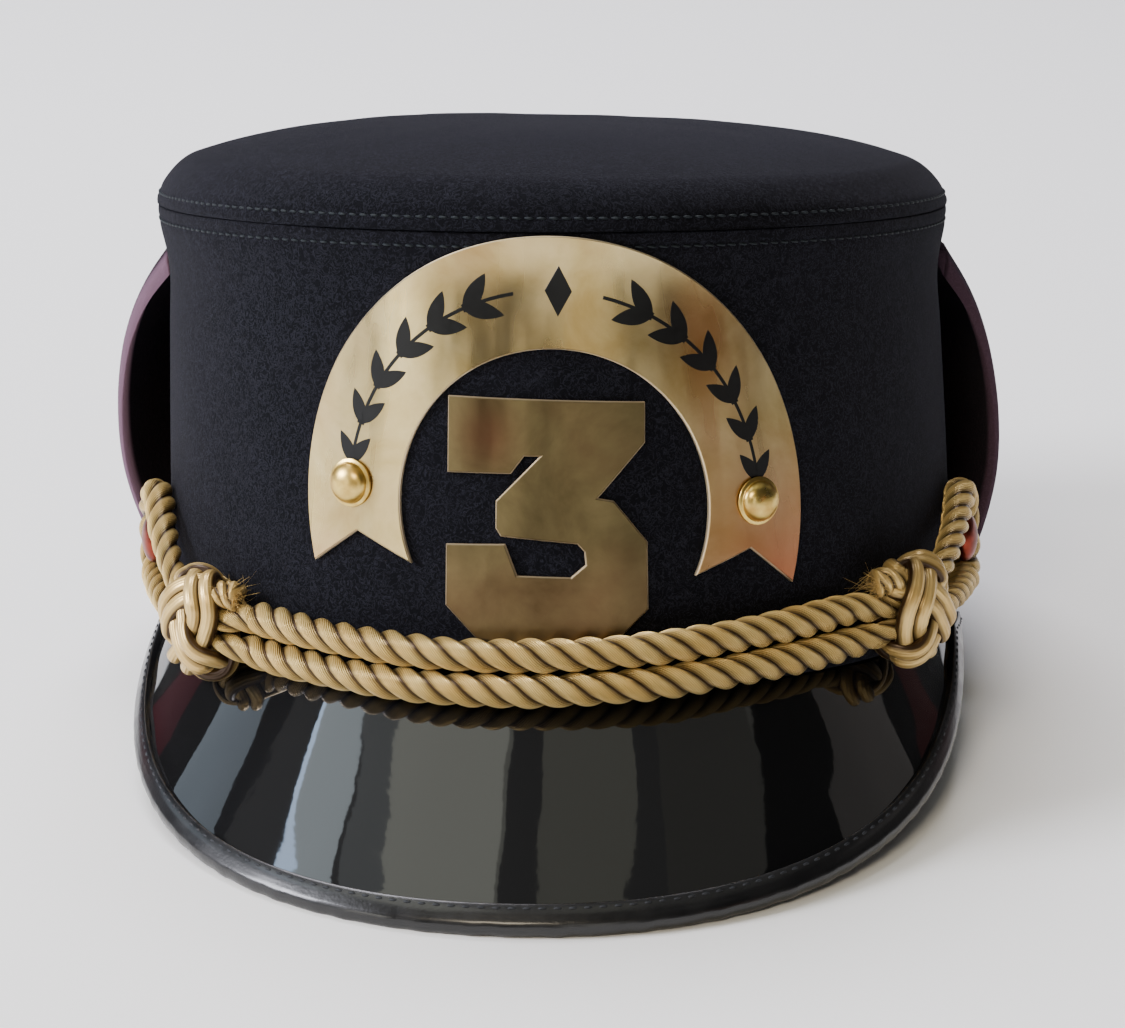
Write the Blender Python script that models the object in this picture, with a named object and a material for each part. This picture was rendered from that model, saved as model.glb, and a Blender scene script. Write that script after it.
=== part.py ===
# Peaked dress cap: felt crown with a turned-up brim, patent leather peak,
# brass badges and a twisted cord that is held by two side buttons.
# All sizes below are millimetres; meshes are written in metres.
import math

import bpy
import bmesh
import numpy as np
from mathutils import Matrix, Vector

MM = 0.001
GAP = 0.3

# Crown, as half widths across (A) and front to back (B) at the lower edge
CROWN_A = 84.0
CROWN_B = 100.9
CROWN_HEIGHT = 87.0
CROWN_WALL = 3.0
CROWN_TAPER = 2.2
CROWN_LEAN = -2.3
TOP_SHOULDER = 10.0
TOP_LIP = 0.4
TOP_RISE = 17.0
TOP_FLATNESS = 3.4
TURN_STEPS = 64

# Turned-up brim round the back half
BRIM_HEIGHT = 77.0
BRIM_THICK = 2.5
BRIM_BULGE = 8.6
BRIM_SKEW = -0.12
BRIM_START = 94.0
BRIM_CORNER = 11.0
BRIM_STEPS = 36

# Peak and its folded edge binding
PEAK_LENGTH = 50.3
PEAK_END_LENGTH = 3.5
PEAK_HALF_ANGLE = 88.5
PEAK_TURN = -2.6
PEAK_FRONT_SLOPE = 48.8
PEAK_SIDE_SLOPE = 62.5
PEAK_THICK = 2.0
PEAK_STEPS = 44
BINDING_WIDTH = 5.6
BINDING_THICK = 1.0

# Badges, bent to the crown
PLATE_THICK = 1.0
PLATE_STRIP = 5.0
BADGE_CENTRE = (3.6, 35.2)
BADGE_OUTER = 51.2
BADGE_INNER = 30.0
BADGE_TURN = -2.4
BADGE_TIP_DROP = 14.5
BADGE_INNER_TIP_DROP = 12.4
BADGE_NOTCH_DROP = 7.4
STUD_RING = 40.5
STUD_ANGLE = 87.6
STUD_RADIUS = 4.6
STUD_HEIGHT = 3.2
NUMBER_CENTRE = (1.9, 33.0)
NUMBER_TURN = -1.7
NUMBER_WIDTH = 38.4
NUMBER_HEIGHT = 46.2

# Cord, its knots and the side buttons
CORD_RADIUS = 3.15
CORD_SQUEEZED = 2.2
KNOT_STRAND = 1.8
KNOT_SLACK = 1.6
KNOT_PITCH = 4.1
BUTTON_RADIUS = 5.2
BUTTON_HEIGHT = 6.4
BUTTON_DOME = 2.4
CORD_STEPS = 94
KNOT_STEPS = 44

# How far the felt and the binding are pressed flat where the cap stands
FELT_SETTLE = 0.8
BINDING_SETTLE = 0.2

# Felt wall: height as a share of CROWN_HEIGHT, draw-in as a share of CROWN_TAPER
WALL_SHAPE = (
    (0.00, 0.00),
    (0.20, 0.12),
    (0.45, 0.40),
    (0.70, 0.74),
    (0.92, 1.00),
    (1.00, 0.55),
)

# Brim section: height as a share of BRIM_HEIGHT, stand-off as a share of BRIM_BULGE
BRIM_SHAPE = (
    (0.00, 0.00),
    (0.06, 0.07),
    (0.20, 0.40),
    (0.37, 0.79),
    (0.54, 1.00),
    (0.63, 0.97),
    (0.79, 0.74),
    (0.91, 0.40),
    (1.00, 0.06),
)

# Block numeral outline: x as a share of NUMBER_WIDTH, height as a share of NUMBER_HEIGHT
NUMBER_OUTLINE = (
    (-0.488, 0.491),
    (0.488, 0.491),
    (0.488, 0.325),
    (0.253, 0.095),
    (0.333, 0.084),
    (0.500, -0.082),
    (0.505, -0.361),
    (0.328, -0.509),
    (-0.328, -0.509),
    (-0.492, -0.372),
    (-0.492, -0.119),
    (-0.198, -0.106),
    (-0.138, -0.234),
    (0.122, -0.234),
    (0.195, -0.180),
    (0.188, -0.126),
    (0.154, -0.095),
    (-0.219, -0.074),
    (-0.245, -0.041),
    (-0.245, 0.071),
    (-0.031, 0.260),
    (-0.107, 0.258),
    (-0.172, 0.184),
    (-0.488, 0.177),
)

# The cord's two front strands: angle from the front, middle height, half spread, share of PLATE_THICK
# that they stand out where they pass over the numeral's foot
CORD_FRONT = (
    (-39.5, 6.4, 3.4, 0.0),
    (-30.0, 5.5, 3.4, 0.0),
    (-14.0, 4.5, 3.35, 1.4),
    (-5.0, 4.4, 3.35, 1.4),
    (5.0, 4.8, 3.35, 1.4),
    (16.0, 5.8, 3.35, 1.4),
    (30.0, 7.3, 3.35, 0.0),
    (42.0, 8.7, 3.4, 0.0),
)

# Side fittings: angle from the front and height of each knot and each button
SIDES = (
    {"name": "left", "knot": (-48.8, 7.2), "button": (-72.5, 17.8), "hand": 1},
    {"name": "right", "knot": (52.6, 10.2), "button": (78.2, 18.0), "hand": -1},
)


def oval_point(angle, height, out, a=CROWN_A, b=CROWN_B):
    # a point on an upright oval wall, pushed outward along the wall's normal
    x = a * np.sin(angle)
    y = -b * np.cos(angle)
    nx = np.sin(angle) / a
    ny = -np.cos(angle) / b
    size = np.hypot(nx, ny)
    return np.stack([x + out * nx / size, y + out * ny / size, height + 0 * x], -1)


def wall_inset(height):
    table = np.array(WALL_SHAPE)
    return CROWN_TAPER * np.interp(height / CROWN_HEIGHT, table[:, 0], table[:, 1])


def on_wall(angle, height, out):
    # a point at a distance outside the felt wall at that height
    angle, height, out = np.broadcast_arrays(angle, height, out)
    place = oval_point(angle, height, out - wall_inset(height))
    place[..., 0] += CROWN_LEAN * height / CROWN_HEIGHT
    return place


def run_table():
    # angles from the front and the millimetres of arc that lead to them
    angles = np.linspace(-math.pi / 2, math.pi / 2, 721)
    steps = np.hypot((CROWN_A - 0.4) * np.cos(angles), (CROWN_B - 0.4) * np.sin(angles))
    length = np.concatenate([[0], np.cumsum((steps[1:] + steps[:-1]) / 2 * np.diff(angles))])
    return angles, length - length[360]


def angle_of_run(run):
    angles, length = run_table()
    return np.interp(run, length, angles)


def run_of_angle(angle):
    angles, length = run_table()
    return float(np.interp(angle, angles, length))


def make_material(name, colour, roughness, metallic):
    material = bpy.data.materials.new(name)
    material.use_nodes = True
    shader = material.node_tree.nodes["Principled BSDF"]
    shader.inputs["Base Color"].default_value = (*colour, 1.0)
    shader.inputs["Roughness"].default_value = roughness
    shader.inputs["Metallic"].default_value = metallic
    material.diffuse_color = (*colour, 1.0)
    return material


def make_object(name, mesh, material, parent):
    piece = bpy.data.objects.new(name, mesh)
    bpy.context.collection.objects.link(piece)
    mesh.materials.append(material)
    piece.parent = parent
    return piece


def finish_mesh(mesh, sharp):
    mesh.shade_smooth()
    mesh.set_sharp_from_angle(angle=math.radians(sharp))


def loft(name, sections, ring, material, parent, press=None, sharp=40.0):
    # joins closed sections, each a list of points, into one skin; open rows of sections get end caps
    rows, count = sections.shape[:2]
    points = sections.reshape(-1, 3)
    if press is not None:
        points = press(points)
    mesh = bpy.data.meshes.new(name)
    work = bmesh.new()
    verts = [work.verts.new(Vector(p) * MM) for p in points]
    span = rows if ring else rows - 1
    for i in range(span):
        k = (i + 1) % rows
        for j in range(count):
            m = (j + 1) % count
            work.faces.new((verts[i * count + j], verts[k * count + j],
                            verts[k * count + m], verts[i * count + m]))
    if not ring:
        work.faces.new(verts[:count])
        work.faces.new(reversed(verts[-count:]))
    bmesh.ops.triangulate(work, faces=work.faces[:])
    bmesh.ops.recalc_face_normals(work, faces=work.faces[:])
    work.to_mesh(mesh)
    work.free()
    finish_mesh(mesh, sharp)
    return make_object(name, mesh, material, parent)


def rest_pose(front_low, back_low):
    # the tilt that brings the peak's tip and the back edge to one floor, and that floor's height
    drop = back_low[2] + FELT_SETTLE - front_low[2] - BINDING_SETTLE
    tilt = -math.atan2(drop, back_low[1] - front_low[1])
    floor = back_low[1] * math.sin(tilt) + (back_low[2] + FELT_SETTLE) * math.cos(tilt)
    return tilt, floor


def press_on_floor(tilt, floor):
    # moves what would lie under the floor up to it, in the cap's own frame
    def press(points):
        points = np.array(points, dtype=float)
        lowest = (floor - points[:, 1] * math.sin(tilt)) / math.cos(tilt)
        points[:, 2] = np.maximum(points[:, 2], lowest)
        return points
    return press


def crown_side(material, parent, press):
    heights = np.array([row[0] for row in WALL_SHAPE]) * CROWN_HEIGHT
    heights[-1] -= GAP / 2
    angles = np.linspace(0, 2 * math.pi, TURN_STEPS, endpoint=False)
    sections = []
    for angle in angles:
        outer = on_wall(angle, heights, 0.0)
        inner = on_wall(angle, heights[::-1], -CROWN_WALL)
        sections.append(np.concatenate([outer, inner]))
    return loft("crown_side", np.array(sections), True, material, parent, press)


def crown_top(material, parent):
    # an upright lip, a quarter-round shoulder and a low dome, then the same again inside
    edge = CROWN_A - wall_inset(CROWN_HEIGHT)
    turns = np.radians([0, 25, 50, 74])
    inset = TOP_SHOULDER * (1 - np.cos(turns))
    lift = TOP_LIP + TOP_SHOULDER * np.sin(turns)
    rest = np.array([0.8, 0.62, 0.38])
    crest = (TOP_RISE - lift[-1]) * (1 - (rest / (1 - inset[-1] / edge)) ** TOP_FLATNESS)
    ratio = np.concatenate([[1.0], 1 - inset / edge, rest])
    height = np.concatenate([[0.0], lift, lift[-1] + crest])
    inner_ratio = np.append(1 - CROWN_WALL / edge, ratio[1:] * (1 - CROWN_WALL / edge))
    inner_height = np.append(0.0, np.maximum(height[1:] - CROWN_WALL, 0.4))
    base = CROWN_HEIGHT + GAP / 2
    angles = np.linspace(0, 2 * math.pi, TURN_STEPS, endpoint=False)
    work = bmesh.new()
    rings = []
    long_edge = CROWN_B - wall_inset(CROWN_HEIGHT)
    profile = list(zip(inner_ratio[::-1], inner_height[::-1])) + list(zip(ratio, height))
    for share, rise in profile:
        x = edge * share * np.sin(angles) + CROWN_LEAN
        y = -long_edge * share * np.cos(angles)
        rings.append([work.verts.new(Vector((px, py, base + rise)) * MM) for px, py in zip(x, y)])
    for low, high in zip(rings[:-1], rings[1:]):
        for i in range(TURN_STEPS):
            k = (i + 1) % TURN_STEPS
            work.faces.new((low[i], low[k], high[k], high[i]))
    for ring, rise in ((rings[0], TOP_RISE - CROWN_WALL), (rings[-1], TOP_RISE)):
        pole = work.verts.new(Vector((CROWN_LEAN, 0, base + rise)) * MM)
        for i in range(TURN_STEPS):
            work.faces.new((ring[i], ring[(i + 1) % TURN_STEPS], pole))
    bmesh.ops.triangulate(work, faces=work.faces[:])
    bmesh.ops.recalc_face_normals(work, faces=work.faces[:])
    mesh = bpy.data.meshes.new("crown_top")
    work.to_mesh(mesh)
    work.free()
    finish_mesh(mesh, 50)
    return make_object("crown_top", mesh, material, parent)


def brim_sections():
    table = np.array(BRIM_SHAPE)
    angles = np.radians(np.linspace(BRIM_START, 360 - BRIM_START, BRIM_STEPS))
    # the first stations stand closer together so that the corner comes out round
    close = np.radians(np.array([0, 0.5, 1.4, 2.7, 4.4])) + angles[0]
    angles = np.concatenate([close, angles[2:-2], (2 * math.pi - close)[::-1]])
    run = (angles - angles[0]) * (CROWN_A + CROWN_B) / 2
    run = np.minimum(run, run[::-1])
    short = np.clip(1 - run / BRIM_CORNER, 0, 1)
    top = BRIM_HEIGHT - BRIM_CORNER * (1 - np.sqrt(1 - short ** 2))
    sections = []
    for angle, tall in zip(angles, top):
        height = table[:, 0] * (tall - 0.02)
        bulge = BRIM_BULGE * (1 + BRIM_SKEW * math.sin(angle))
        out = GAP + BRIM_THICK / 2 + 0.05 + bulge * table[:, 1]
        slope = np.stack([np.gradient(out), np.gradient(height)], -1)
        slope /= np.linalg.norm(slope, axis=1)[:, None]
        side = np.stack([slope[:, 1], -slope[:, 0]], -1) * BRIM_THICK / 2
        outer = on_wall(angle, np.maximum(height + side[:, 1], 0), out + side[:, 0])
        inner = on_wall(angle, np.maximum(height - side[:, 1], 0), out - side[:, 0])
        sections.append(np.concatenate([outer, inner[::-1]]))
    return np.array(sections)


def peak_shape(angles):
    # root point on the crown, outward direction down the slope, upward normal and slope length
    share = np.abs(angles) / math.radians(PEAK_HALF_ANGLE)
    angles = angles + math.radians(PEAK_TURN)
    slope = np.radians(PEAK_FRONT_SLOPE + (PEAK_SIDE_SLOPE - PEAK_FRONT_SLOPE) * share ** 2)
    length = PEAK_END_LENGTH + (PEAK_LENGTH - PEAK_END_LENGTH) * (1 - share ** 2.3) ** 1.9
    root = on_wall(angles, -0.2, GAP)
    flat = on_wall(angles, 0.0, 1.0) - on_wall(angles, 0.0, 0.0)
    up = np.array([0.0, 0.0, 1.0])
    along = flat * np.cos(slope)[:, None] - up * np.sin(slope)[:, None]
    normal = flat * np.sin(slope)[:, None] + up * np.cos(slope)[:, None]
    return root, along, normal, length


def binding_width(far):
    return min(BINDING_WIDTH, far - 0.7)


def peak_sections(angles):
    root, along, normal, length = peak_shape(angles)
    reach = length - BINDING_THICK - GAP
    sections = []
    for r, a, n, far, full in zip(root, along, normal, reach, length):
        clasp = full - binding_width(full) - GAP
        steps = np.append(np.linspace(0, clasp, 5), far)[:, None]
        top = r + a * steps
        sections.append(np.concatenate([top, (top - n * PEAK_THICK)[::-1]]))
    return np.array(sections)


def binding_sections(angles):
    root, along, normal, length = peak_shape(angles)
    over = GAP + BINDING_THICK
    round_size = PEAK_THICK / 2 + over
    middle = -PEAK_THICK / 2
    turns = np.radians([90, 58, 28, 0, -28, -58, -90])
    sections = []
    for r, a, n, far in zip(root, along, normal, length):
        start = far - binding_width(far)
        centre = far - round_size
        across = np.concatenate([
            [start, start, start + 0.5],
            np.maximum(centre + round_size * np.cos(turns), start + 0.55),
            [start + 0.5, start, start, far - BINDING_THICK, far - BINDING_THICK],
        ])
        rise = np.concatenate([
            [GAP, over - 0.3, over],
            middle + round_size * np.sin(turns),
            [-PEAK_THICK - over, -PEAK_THICK - over + 0.3, -PEAK_THICK - GAP, -PEAK_THICK - GAP, GAP],
        ])
        sections.append(r + a * across[:, None] + n * rise[:, None])
    return np.array(sections)


def plate(name, outline, centre, turn, foot, material, parent):
    # a flat outline cut into upright strips, given thickness and bent round the crown
    outline = np.array(outline)
    spin = math.radians(turn)
    x = centre[0] + outline[:, 0] * math.cos(spin) - outline[:, 1] * math.sin(spin)
    z = centre[1] + outline[:, 0] * math.sin(spin) + outline[:, 1] * math.cos(spin)
    work = bmesh.new()
    face = work.faces.new([work.verts.new((px, 0.0, pz)) for px, pz in zip(x, z)])
    cuts = np.arange(math.ceil(x.min() / PLATE_STRIP) * PLATE_STRIP, x.max(), PLATE_STRIP)
    for cut in cuts:
        bmesh.ops.bisect_plane(work, geom=work.verts[:] + work.edges[:] + work.faces[:],
                               plane_co=(cut + 0.013, 0, 0), plane_no=(1, 0, 0), dist=0.01)
    bmesh.ops.triangulate(work, faces=work.faces[:])
    thick = bmesh.ops.extrude_face_region(work, geom=work.faces[:])
    for item in thick["geom"]:
        if isinstance(item, bmesh.types.BMVert):
            item.co.y = PLATE_THICK
    for vert in work.verts:
        place = on_wall(angle_of_run(vert.co.x), vert.co.z, foot + vert.co.y)
        vert.co = Vector(place) * MM
    bmesh.ops.recalc_face_normals(work, faces=work.faces[:])
    mesh = bpy.data.meshes.new(name)
    work.to_mesh(mesh)
    work.free()
    finish_mesh(mesh, 35)
    return make_object(name, mesh, material, parent)


def arc_outline():
    # from the outer left tip round the top to the right, the swallow tail, then back inside
    start = math.asin(BADGE_TIP_DROP / BADGE_OUTER)
    inner_start = math.asin(BADGE_INNER_TIP_DROP / BADGE_INNER)
    outer = np.linspace(math.pi + start, -start, 37)
    inner = np.linspace(-inner_start, math.pi + inner_start, 27)
    notch = (BADGE_OUTER + BADGE_INNER) / 2
    reach = math.sqrt((notch - 0.8) ** 2 - BADGE_NOTCH_DROP ** 2)
    points = [(BADGE_OUTER * math.cos(t), BADGE_OUTER * math.sin(t)) for t in outer]
    points.append((reach, -BADGE_NOTCH_DROP))
    points += [(BADGE_INNER * math.cos(t), BADGE_INNER * math.sin(t)) for t in inner]
    points.append((-reach, -BADGE_NOTCH_DROP))
    return points[::-1]


def number_outline():
    return [(x * NUMBER_WIDTH, z * NUMBER_HEIGHT) for x, z in NUMBER_OUTLINE]


def turned(name, profile, place, toward, material, parent, steps=16):
    # a body of rotation about its own Z; the profile runs from the foot's rim to the crown of the dome
    work = bmesh.new()
    rings = []
    for radius, height in profile:
        turn = np.linspace(0, 2 * math.pi, steps, endpoint=False)
        rings.append([work.verts.new((radius * math.cos(t) * MM, radius * math.sin(t) * MM, height * MM))
                      for t in turn])
    for low, high in zip(rings[:-1], rings[1:]):
        for i in range(steps):
            k = (i + 1) % steps
            work.faces.new((low[i], low[k], high[k], high[i]))
    work.faces.new(reversed(rings[0]))
    work.faces.new(rings[-1])
    bmesh.ops.recalc_face_normals(work, faces=work.faces[:])
    mesh = bpy.data.meshes.new(name)
    work.to_mesh(mesh)
    work.free()
    finish_mesh(mesh, 40)
    piece = make_object(name, mesh, material, parent)
    piece.location = Vector(place) * MM
    piece.rotation_euler = Vector(toward).to_track_quat("Z", "X").to_euler()
    return piece


def dome_profile(radius, straight, height, steps=4):
    rows = [(radius, 0.0), (radius, straight)]
    for i in range(1, steps + 1):
        turn = math.radians(84) * i / steps
        rows.append((radius * math.cos(turn), straight + (height - straight) * math.sin(turn)))
    return rows


def smooth_route(knots, count, closed):
    # evenly spaced points on a Catmull-Rom curve through the given rows
    rows = np.array(knots, dtype=float)
    if closed:
        rows = np.concatenate([rows[-1:], rows, rows[:2]])
    else:
        rows = np.concatenate([2 * rows[:1] - rows[1:2], rows, 2 * rows[-1:] - rows[-2:-1]])
    share = np.linspace(0, 1, 12, endpoint=False)[:, None]
    dense = []
    for p0, p1, p2, p3 in zip(rows[:-3], rows[1:-2], rows[2:-1], rows[3:]):
        dense.append(0.5 * (2 * p1 + (p2 - p0) * share + (2 * p0 - 5 * p1 + 4 * p2 - p3) * share ** 2
                            + (3 * p1 - p0 - 3 * p2 + p3) * share ** 3))
    dense = np.concatenate(dense + [rows[-2:-1]])
    steps = np.linalg.norm(np.diff(dense[:, :3], axis=0), axis=1)
    length = np.concatenate([[0], np.cumsum(steps)])
    target = np.linspace(0, length[-1], count + 1)[:-1] if closed else np.linspace(0, length[-1], count)
    return np.stack([np.interp(target, length, dense[:, k]) for k in range(dense.shape[1])], -1)


def tube(name, points, radii, closed, material, parent):
    curve = bpy.data.curves.new(name, "CURVE")
    curve.dimensions = "3D"
    curve.bevel_depth = MM
    curve.bevel_resolution = 2
    curve.use_fill_caps = True
    curve.resolution_u = 1
    spline = curve.splines.new("POLY")
    spline.points.add(len(points) - 1)
    for item, point, radius in zip(spline.points, points, radii):
        item.co = (*(Vector(point) * MM), 1.0)
        item.radius = radius
    spline.use_cyclic_u = closed
    curve.materials.append(material)
    piece = bpy.data.objects.new(name, curve)
    bpy.context.collection.objects.link(piece)
    piece.parent = parent
    return piece


def cord_rest():
    return CORD_RADIUS + GAP


def knot_stand():
    # how far the squeezed cord stands off the felt inside a knot
    return 2 * GAP + 2 * KNOT_STRAND + CORD_SQUEEZED + 0.25


def cord_route():
    # rows of run, height, distance out and radius: upper strand, right loop, lower strand, left loop
    def strand(sign):
        return [(run_of_angle(math.radians(angle)), middle + sign * spread,
                 cord_rest() + stand * PLATE_THICK, CORD_RADIUS)
                for angle, middle, spread, stand in CORD_FRONT]

    def through_knot(side, sign):
        run = run_of_angle(math.radians(side["knot"][0]))
        spread = CORD_SQUEEZED + GAP / 2 + 0.05
        return [(run + step * math.copysign(1, run), side["knot"][1] + sign * spread + rise,
                 knot_stand(), CORD_SQUEEZED) for step, rise in ((-7.0, -0.8), (0.0, 0.0), (7.0, 0.8))]

    def loop(side):
        # round the button, from the top strand over the back to the bottom strand
        ring = BUTTON_RADIUS + GAP + CORD_RADIUS + 0.6
        run = run_of_angle(math.radians(side["button"][0]))
        return [(run + math.copysign(ring, run) * math.cos(turn), side["button"][1] + ring * math.sin(turn),
                 cord_rest(), CORD_RADIUS) for turn in np.radians((122, 84, 46, 8, -30, -68, -106))]

    left, right = SIDES
    rows = strand(1) + through_knot(right, 1) + loop(right)
    rows += through_knot(right, -1)[::-1] + strand(-1)[::-1] + through_knot(left, -1)
    rows += loop(left)[::-1] + through_knot(left, 1)[::-1]
    route = smooth_route(rows, CORD_STEPS, True)
    out = np.maximum(route[:, 2], cord_rest())
    places = on_wall(angle_of_run(route[:, 0]), route[:, 1], out + 0.05)
    return places, route[:, 3]


def knot_route(side):
    # three wraps round both strands, one strand crossing back over the front, and a short tail
    angle, height = math.radians(side["knot"][0]), side["knot"][1]
    origin = on_wall(angle, height, knot_stand())
    outward = on_wall(angle, 0.0, 1.0) - on_wall(angle, 0.0, 0.0)
    inward_run = np.cross(outward, (0.0, 0.0, 1.0)) * -side["hand"]
    lean = math.radians(5.0)
    along = inward_run * math.cos(lean) - np.array([0, 0, math.sin(lean)])
    up = np.array([0, 0, math.cos(lean)]) + inward_run * math.sin(lean)
    deep = CORD_SQUEEZED + GAP + KNOT_STRAND + 0.25
    tall = 2 * CORD_SQUEEZED + GAP + KNOT_STRAND + KNOT_SLACK + 0.6
    over = 2 * KNOT_STRAND + GAP + 0.1
    # turn round the cord in degrees (0 at the top, 90 at the back), run along it, extra layer
    rows = [(20, 1.0, 0), (55, 1.0, 0), (90, 1.0, 0), (125, 1.0, 0), (160, 1.0, 0)]
    for wrap in (1, 0):
        rows += [(180, wrap, 0), (215, wrap - 0.1, 0), (250, wrap - 0.35, 0), (290, wrap - 0.65, 0),
                 (325, wrap - 0.9, 0), (360, wrap - 1, 0), (415, wrap - 1, 0), (450, wrap - 1, 0),
                 (485, wrap - 1, 0)]
    rows += [(540, -1.0, 0.0), (575, -0.85, 0.55), (605, -0.45, 1.0), (630, 0.0, 1.0), (655, 0.5, 1.0),
             (685, 0.95, 1.0)]
    path = []
    for turn, run, layer in rows:
        t = math.radians(turn)
        lift = math.copysign(abs(math.cos(t)) ** 0.77, math.cos(t)) * (tall + over * layer * 0.6)
        push = -math.copysign(abs(math.sin(t)) ** 0.77, math.sin(t)) * (deep + over * layer)
        path.append(origin + along * run * KNOT_PITCH + up * lift + outward * push)
    tail = tall + KNOT_STRAND
    for run, lift, push in ((1.75, tail + 0.6, 0.5), (2.5, tail + 0.1, -1.2), (3.9, tail - 0.2, -1.6)):
        path.append(origin + along * run * KNOT_PITCH + up * lift + outward * push)
    return smooth_route(path, KNOT_STEPS, False)


def main():
    for item in list(bpy.data.objects):
        bpy.data.objects.remove(item, do_unlink=True)
    felt = make_material("black_felt", (0.012, 0.012, 0.017), 0.95, 0.0)
    brim_felt = make_material("plum_black_brim", (0.014, 0.008, 0.012), 0.8, 0.0)
    patent = make_material("patent_leather", (0.006, 0.006, 0.007), 0.06, 0.0)
    edging = make_material("binding_leather", (0.012, 0.012, 0.014), 0.3, 0.0)
    brass = make_material("brushed_brass", (0.42, 0.28, 0.12), 0.32, 1.0)
    bright = make_material("polished_brass", (0.62, 0.46, 0.2), 0.18, 1.0)
    gold_cord = make_material("gold_cord", (0.52, 0.37, 0.17), 0.5, 0.2)

    root = bpy.data.objects.new("cap", None)
    bpy.context.collection.objects.link(root)

    angles = np.radians(np.linspace(-PEAK_HALF_ANGLE, PEAK_HALF_ANGLE, PEAK_STEPS + 1))
    binding = binding_sections(angles)
    brim = brim_sections()
    front_low = binding.reshape(-1, 3)[binding.reshape(-1, 3)[:, 2].argmin()]
    low_rows = brim.reshape(-1, 3)[brim.reshape(-1, 3)[:, 2] < 0.01]
    back_low = low_rows[low_rows[:, 1].argmax()]
    tilt, floor = rest_pose(front_low, back_low)
    press = press_on_floor(tilt, floor)

    crown_side(felt, root, press)
    crown_top(felt, root)
    loft("turned_up_brim", brim, False, brim_felt, root, press)
    loft("peak", peak_sections(angles), False, patent, root)
    loft("peak_binding", binding, False, edging, root, press)
    plate("arc_badge", arc_outline(), BADGE_CENTRE, BADGE_TURN, GAP, brass, root)
    plate("number_badge", number_outline(), NUMBER_CENTRE, NUMBER_TURN, GAP, brass, root)

    for name, way in (("left", -1), ("right", 1)):
        ring = math.radians(90 - way * STUD_ANGLE + BADGE_TURN)
        run = BADGE_CENTRE[0] + STUD_RING * math.cos(ring)
        height = BADGE_CENTRE[1] + STUD_RING * math.sin(ring)
        at = angle_of_run(run)
        toward = on_wall(at, height, 1.0) - on_wall(at, height, 0.0)
        place = on_wall(at, height, 2 * GAP + PLATE_THICK + 0.15)
        profile = [(STUD_RADIUS, 0.0), (STUD_RADIUS, 0.5)]
        profile += [(r, h + 0.4) for r, h in dome_profile(STUD_RADIUS - 0.5, 0.3, STUD_HEIGHT - 0.4)]
        turned("badge_stud_" + name, profile, place, toward, bright, root)

    places, radii = cord_route()
    tube("cap_cord", places, radii, True, gold_cord, root)
    for side in SIDES:
        path = knot_route(side)
        tube("cord_knot_" + side["name"], path, np.full(len(path), KNOT_STRAND), False, gold_cord, root)
        at = math.radians(side["button"][0])
        height = side["button"][1]
        toward = on_wall(at, height, 1.0) - on_wall(at, height, 0.0)
        turned("side_button_" + side["name"], dome_profile(BUTTON_RADIUS, BUTTON_HEIGHT - BUTTON_DOME,
               BUTTON_HEIGHT), on_wall(at, height, GAP + 0.1), toward, bright, root)

    # the cap stands on its peak's tip and its back edge; the origin is under the middle of its box
    turn = Matrix.Rotation(tilt, 3, "X")
    reach = np.array([turn @ Vector(p) for p in np.concatenate([binding.reshape(-1, 3), brim.reshape(-1, 3)])])
    middle = (reach.min(axis=0) + reach.max(axis=0)) / 2
    root.rotation_euler = (tilt, 0.0, 0.0)
    root.location = Vector((-middle[0], -middle[1], -floor)) * MM


main()
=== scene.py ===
import bmesh
import bpy
import numpy as np
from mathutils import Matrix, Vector


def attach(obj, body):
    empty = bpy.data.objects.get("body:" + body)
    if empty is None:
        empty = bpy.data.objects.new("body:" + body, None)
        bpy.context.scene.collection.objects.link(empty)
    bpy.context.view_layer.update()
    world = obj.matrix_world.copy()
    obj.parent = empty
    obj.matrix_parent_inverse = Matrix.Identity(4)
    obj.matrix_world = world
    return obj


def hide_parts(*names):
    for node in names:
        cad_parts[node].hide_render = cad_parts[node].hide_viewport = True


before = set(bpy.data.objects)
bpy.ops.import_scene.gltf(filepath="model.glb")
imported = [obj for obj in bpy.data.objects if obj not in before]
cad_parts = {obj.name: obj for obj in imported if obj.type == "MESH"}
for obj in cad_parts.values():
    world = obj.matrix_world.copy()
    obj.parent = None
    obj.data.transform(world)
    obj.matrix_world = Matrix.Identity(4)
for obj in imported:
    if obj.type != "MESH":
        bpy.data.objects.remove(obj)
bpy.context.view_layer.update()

mm = 0.001
turn = 2 * np.pi

# How the cap leans back where it stands (radians), and where its own origin then is (metres)
capPose = {"tilt": -0.167072, "place": (0.0019659, 0.0105767, 0.0164466)}

# The crown's oval: half widths, height, wall, how far it draws in and leans over, gap between pieces (mm)
crown = {"halfWidth": 84.0, "halfDepth": 100.9, "height": 87.0, "wall": 3.0, "drawIn": 2.2, "lean": -2.3,
         "gap": 0.3}
wallShape = [(0.0, 0.0), (0.20, 0.12), (0.45, 0.40), (0.70, 0.74), (0.92, 1.0), (1.0, 0.55)]


# Materials: each tool below gives a (node, output) pair that the next one can take

def hexColour(code):
    # sRGB to linear: up to 0.04045 divided by 12.92, above it ((c + 0.055) / 1.055) to the power 2.4
    part = np.array([int(code[i:i + 2], 16) for i in (1, 3, 5)]) / 255
    linear = np.where(part <= 0.04045, part / 12.92, ((part + 0.055) / 1.055) ** 2.4)
    return (*linear.tolist(), 1.0)


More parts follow.
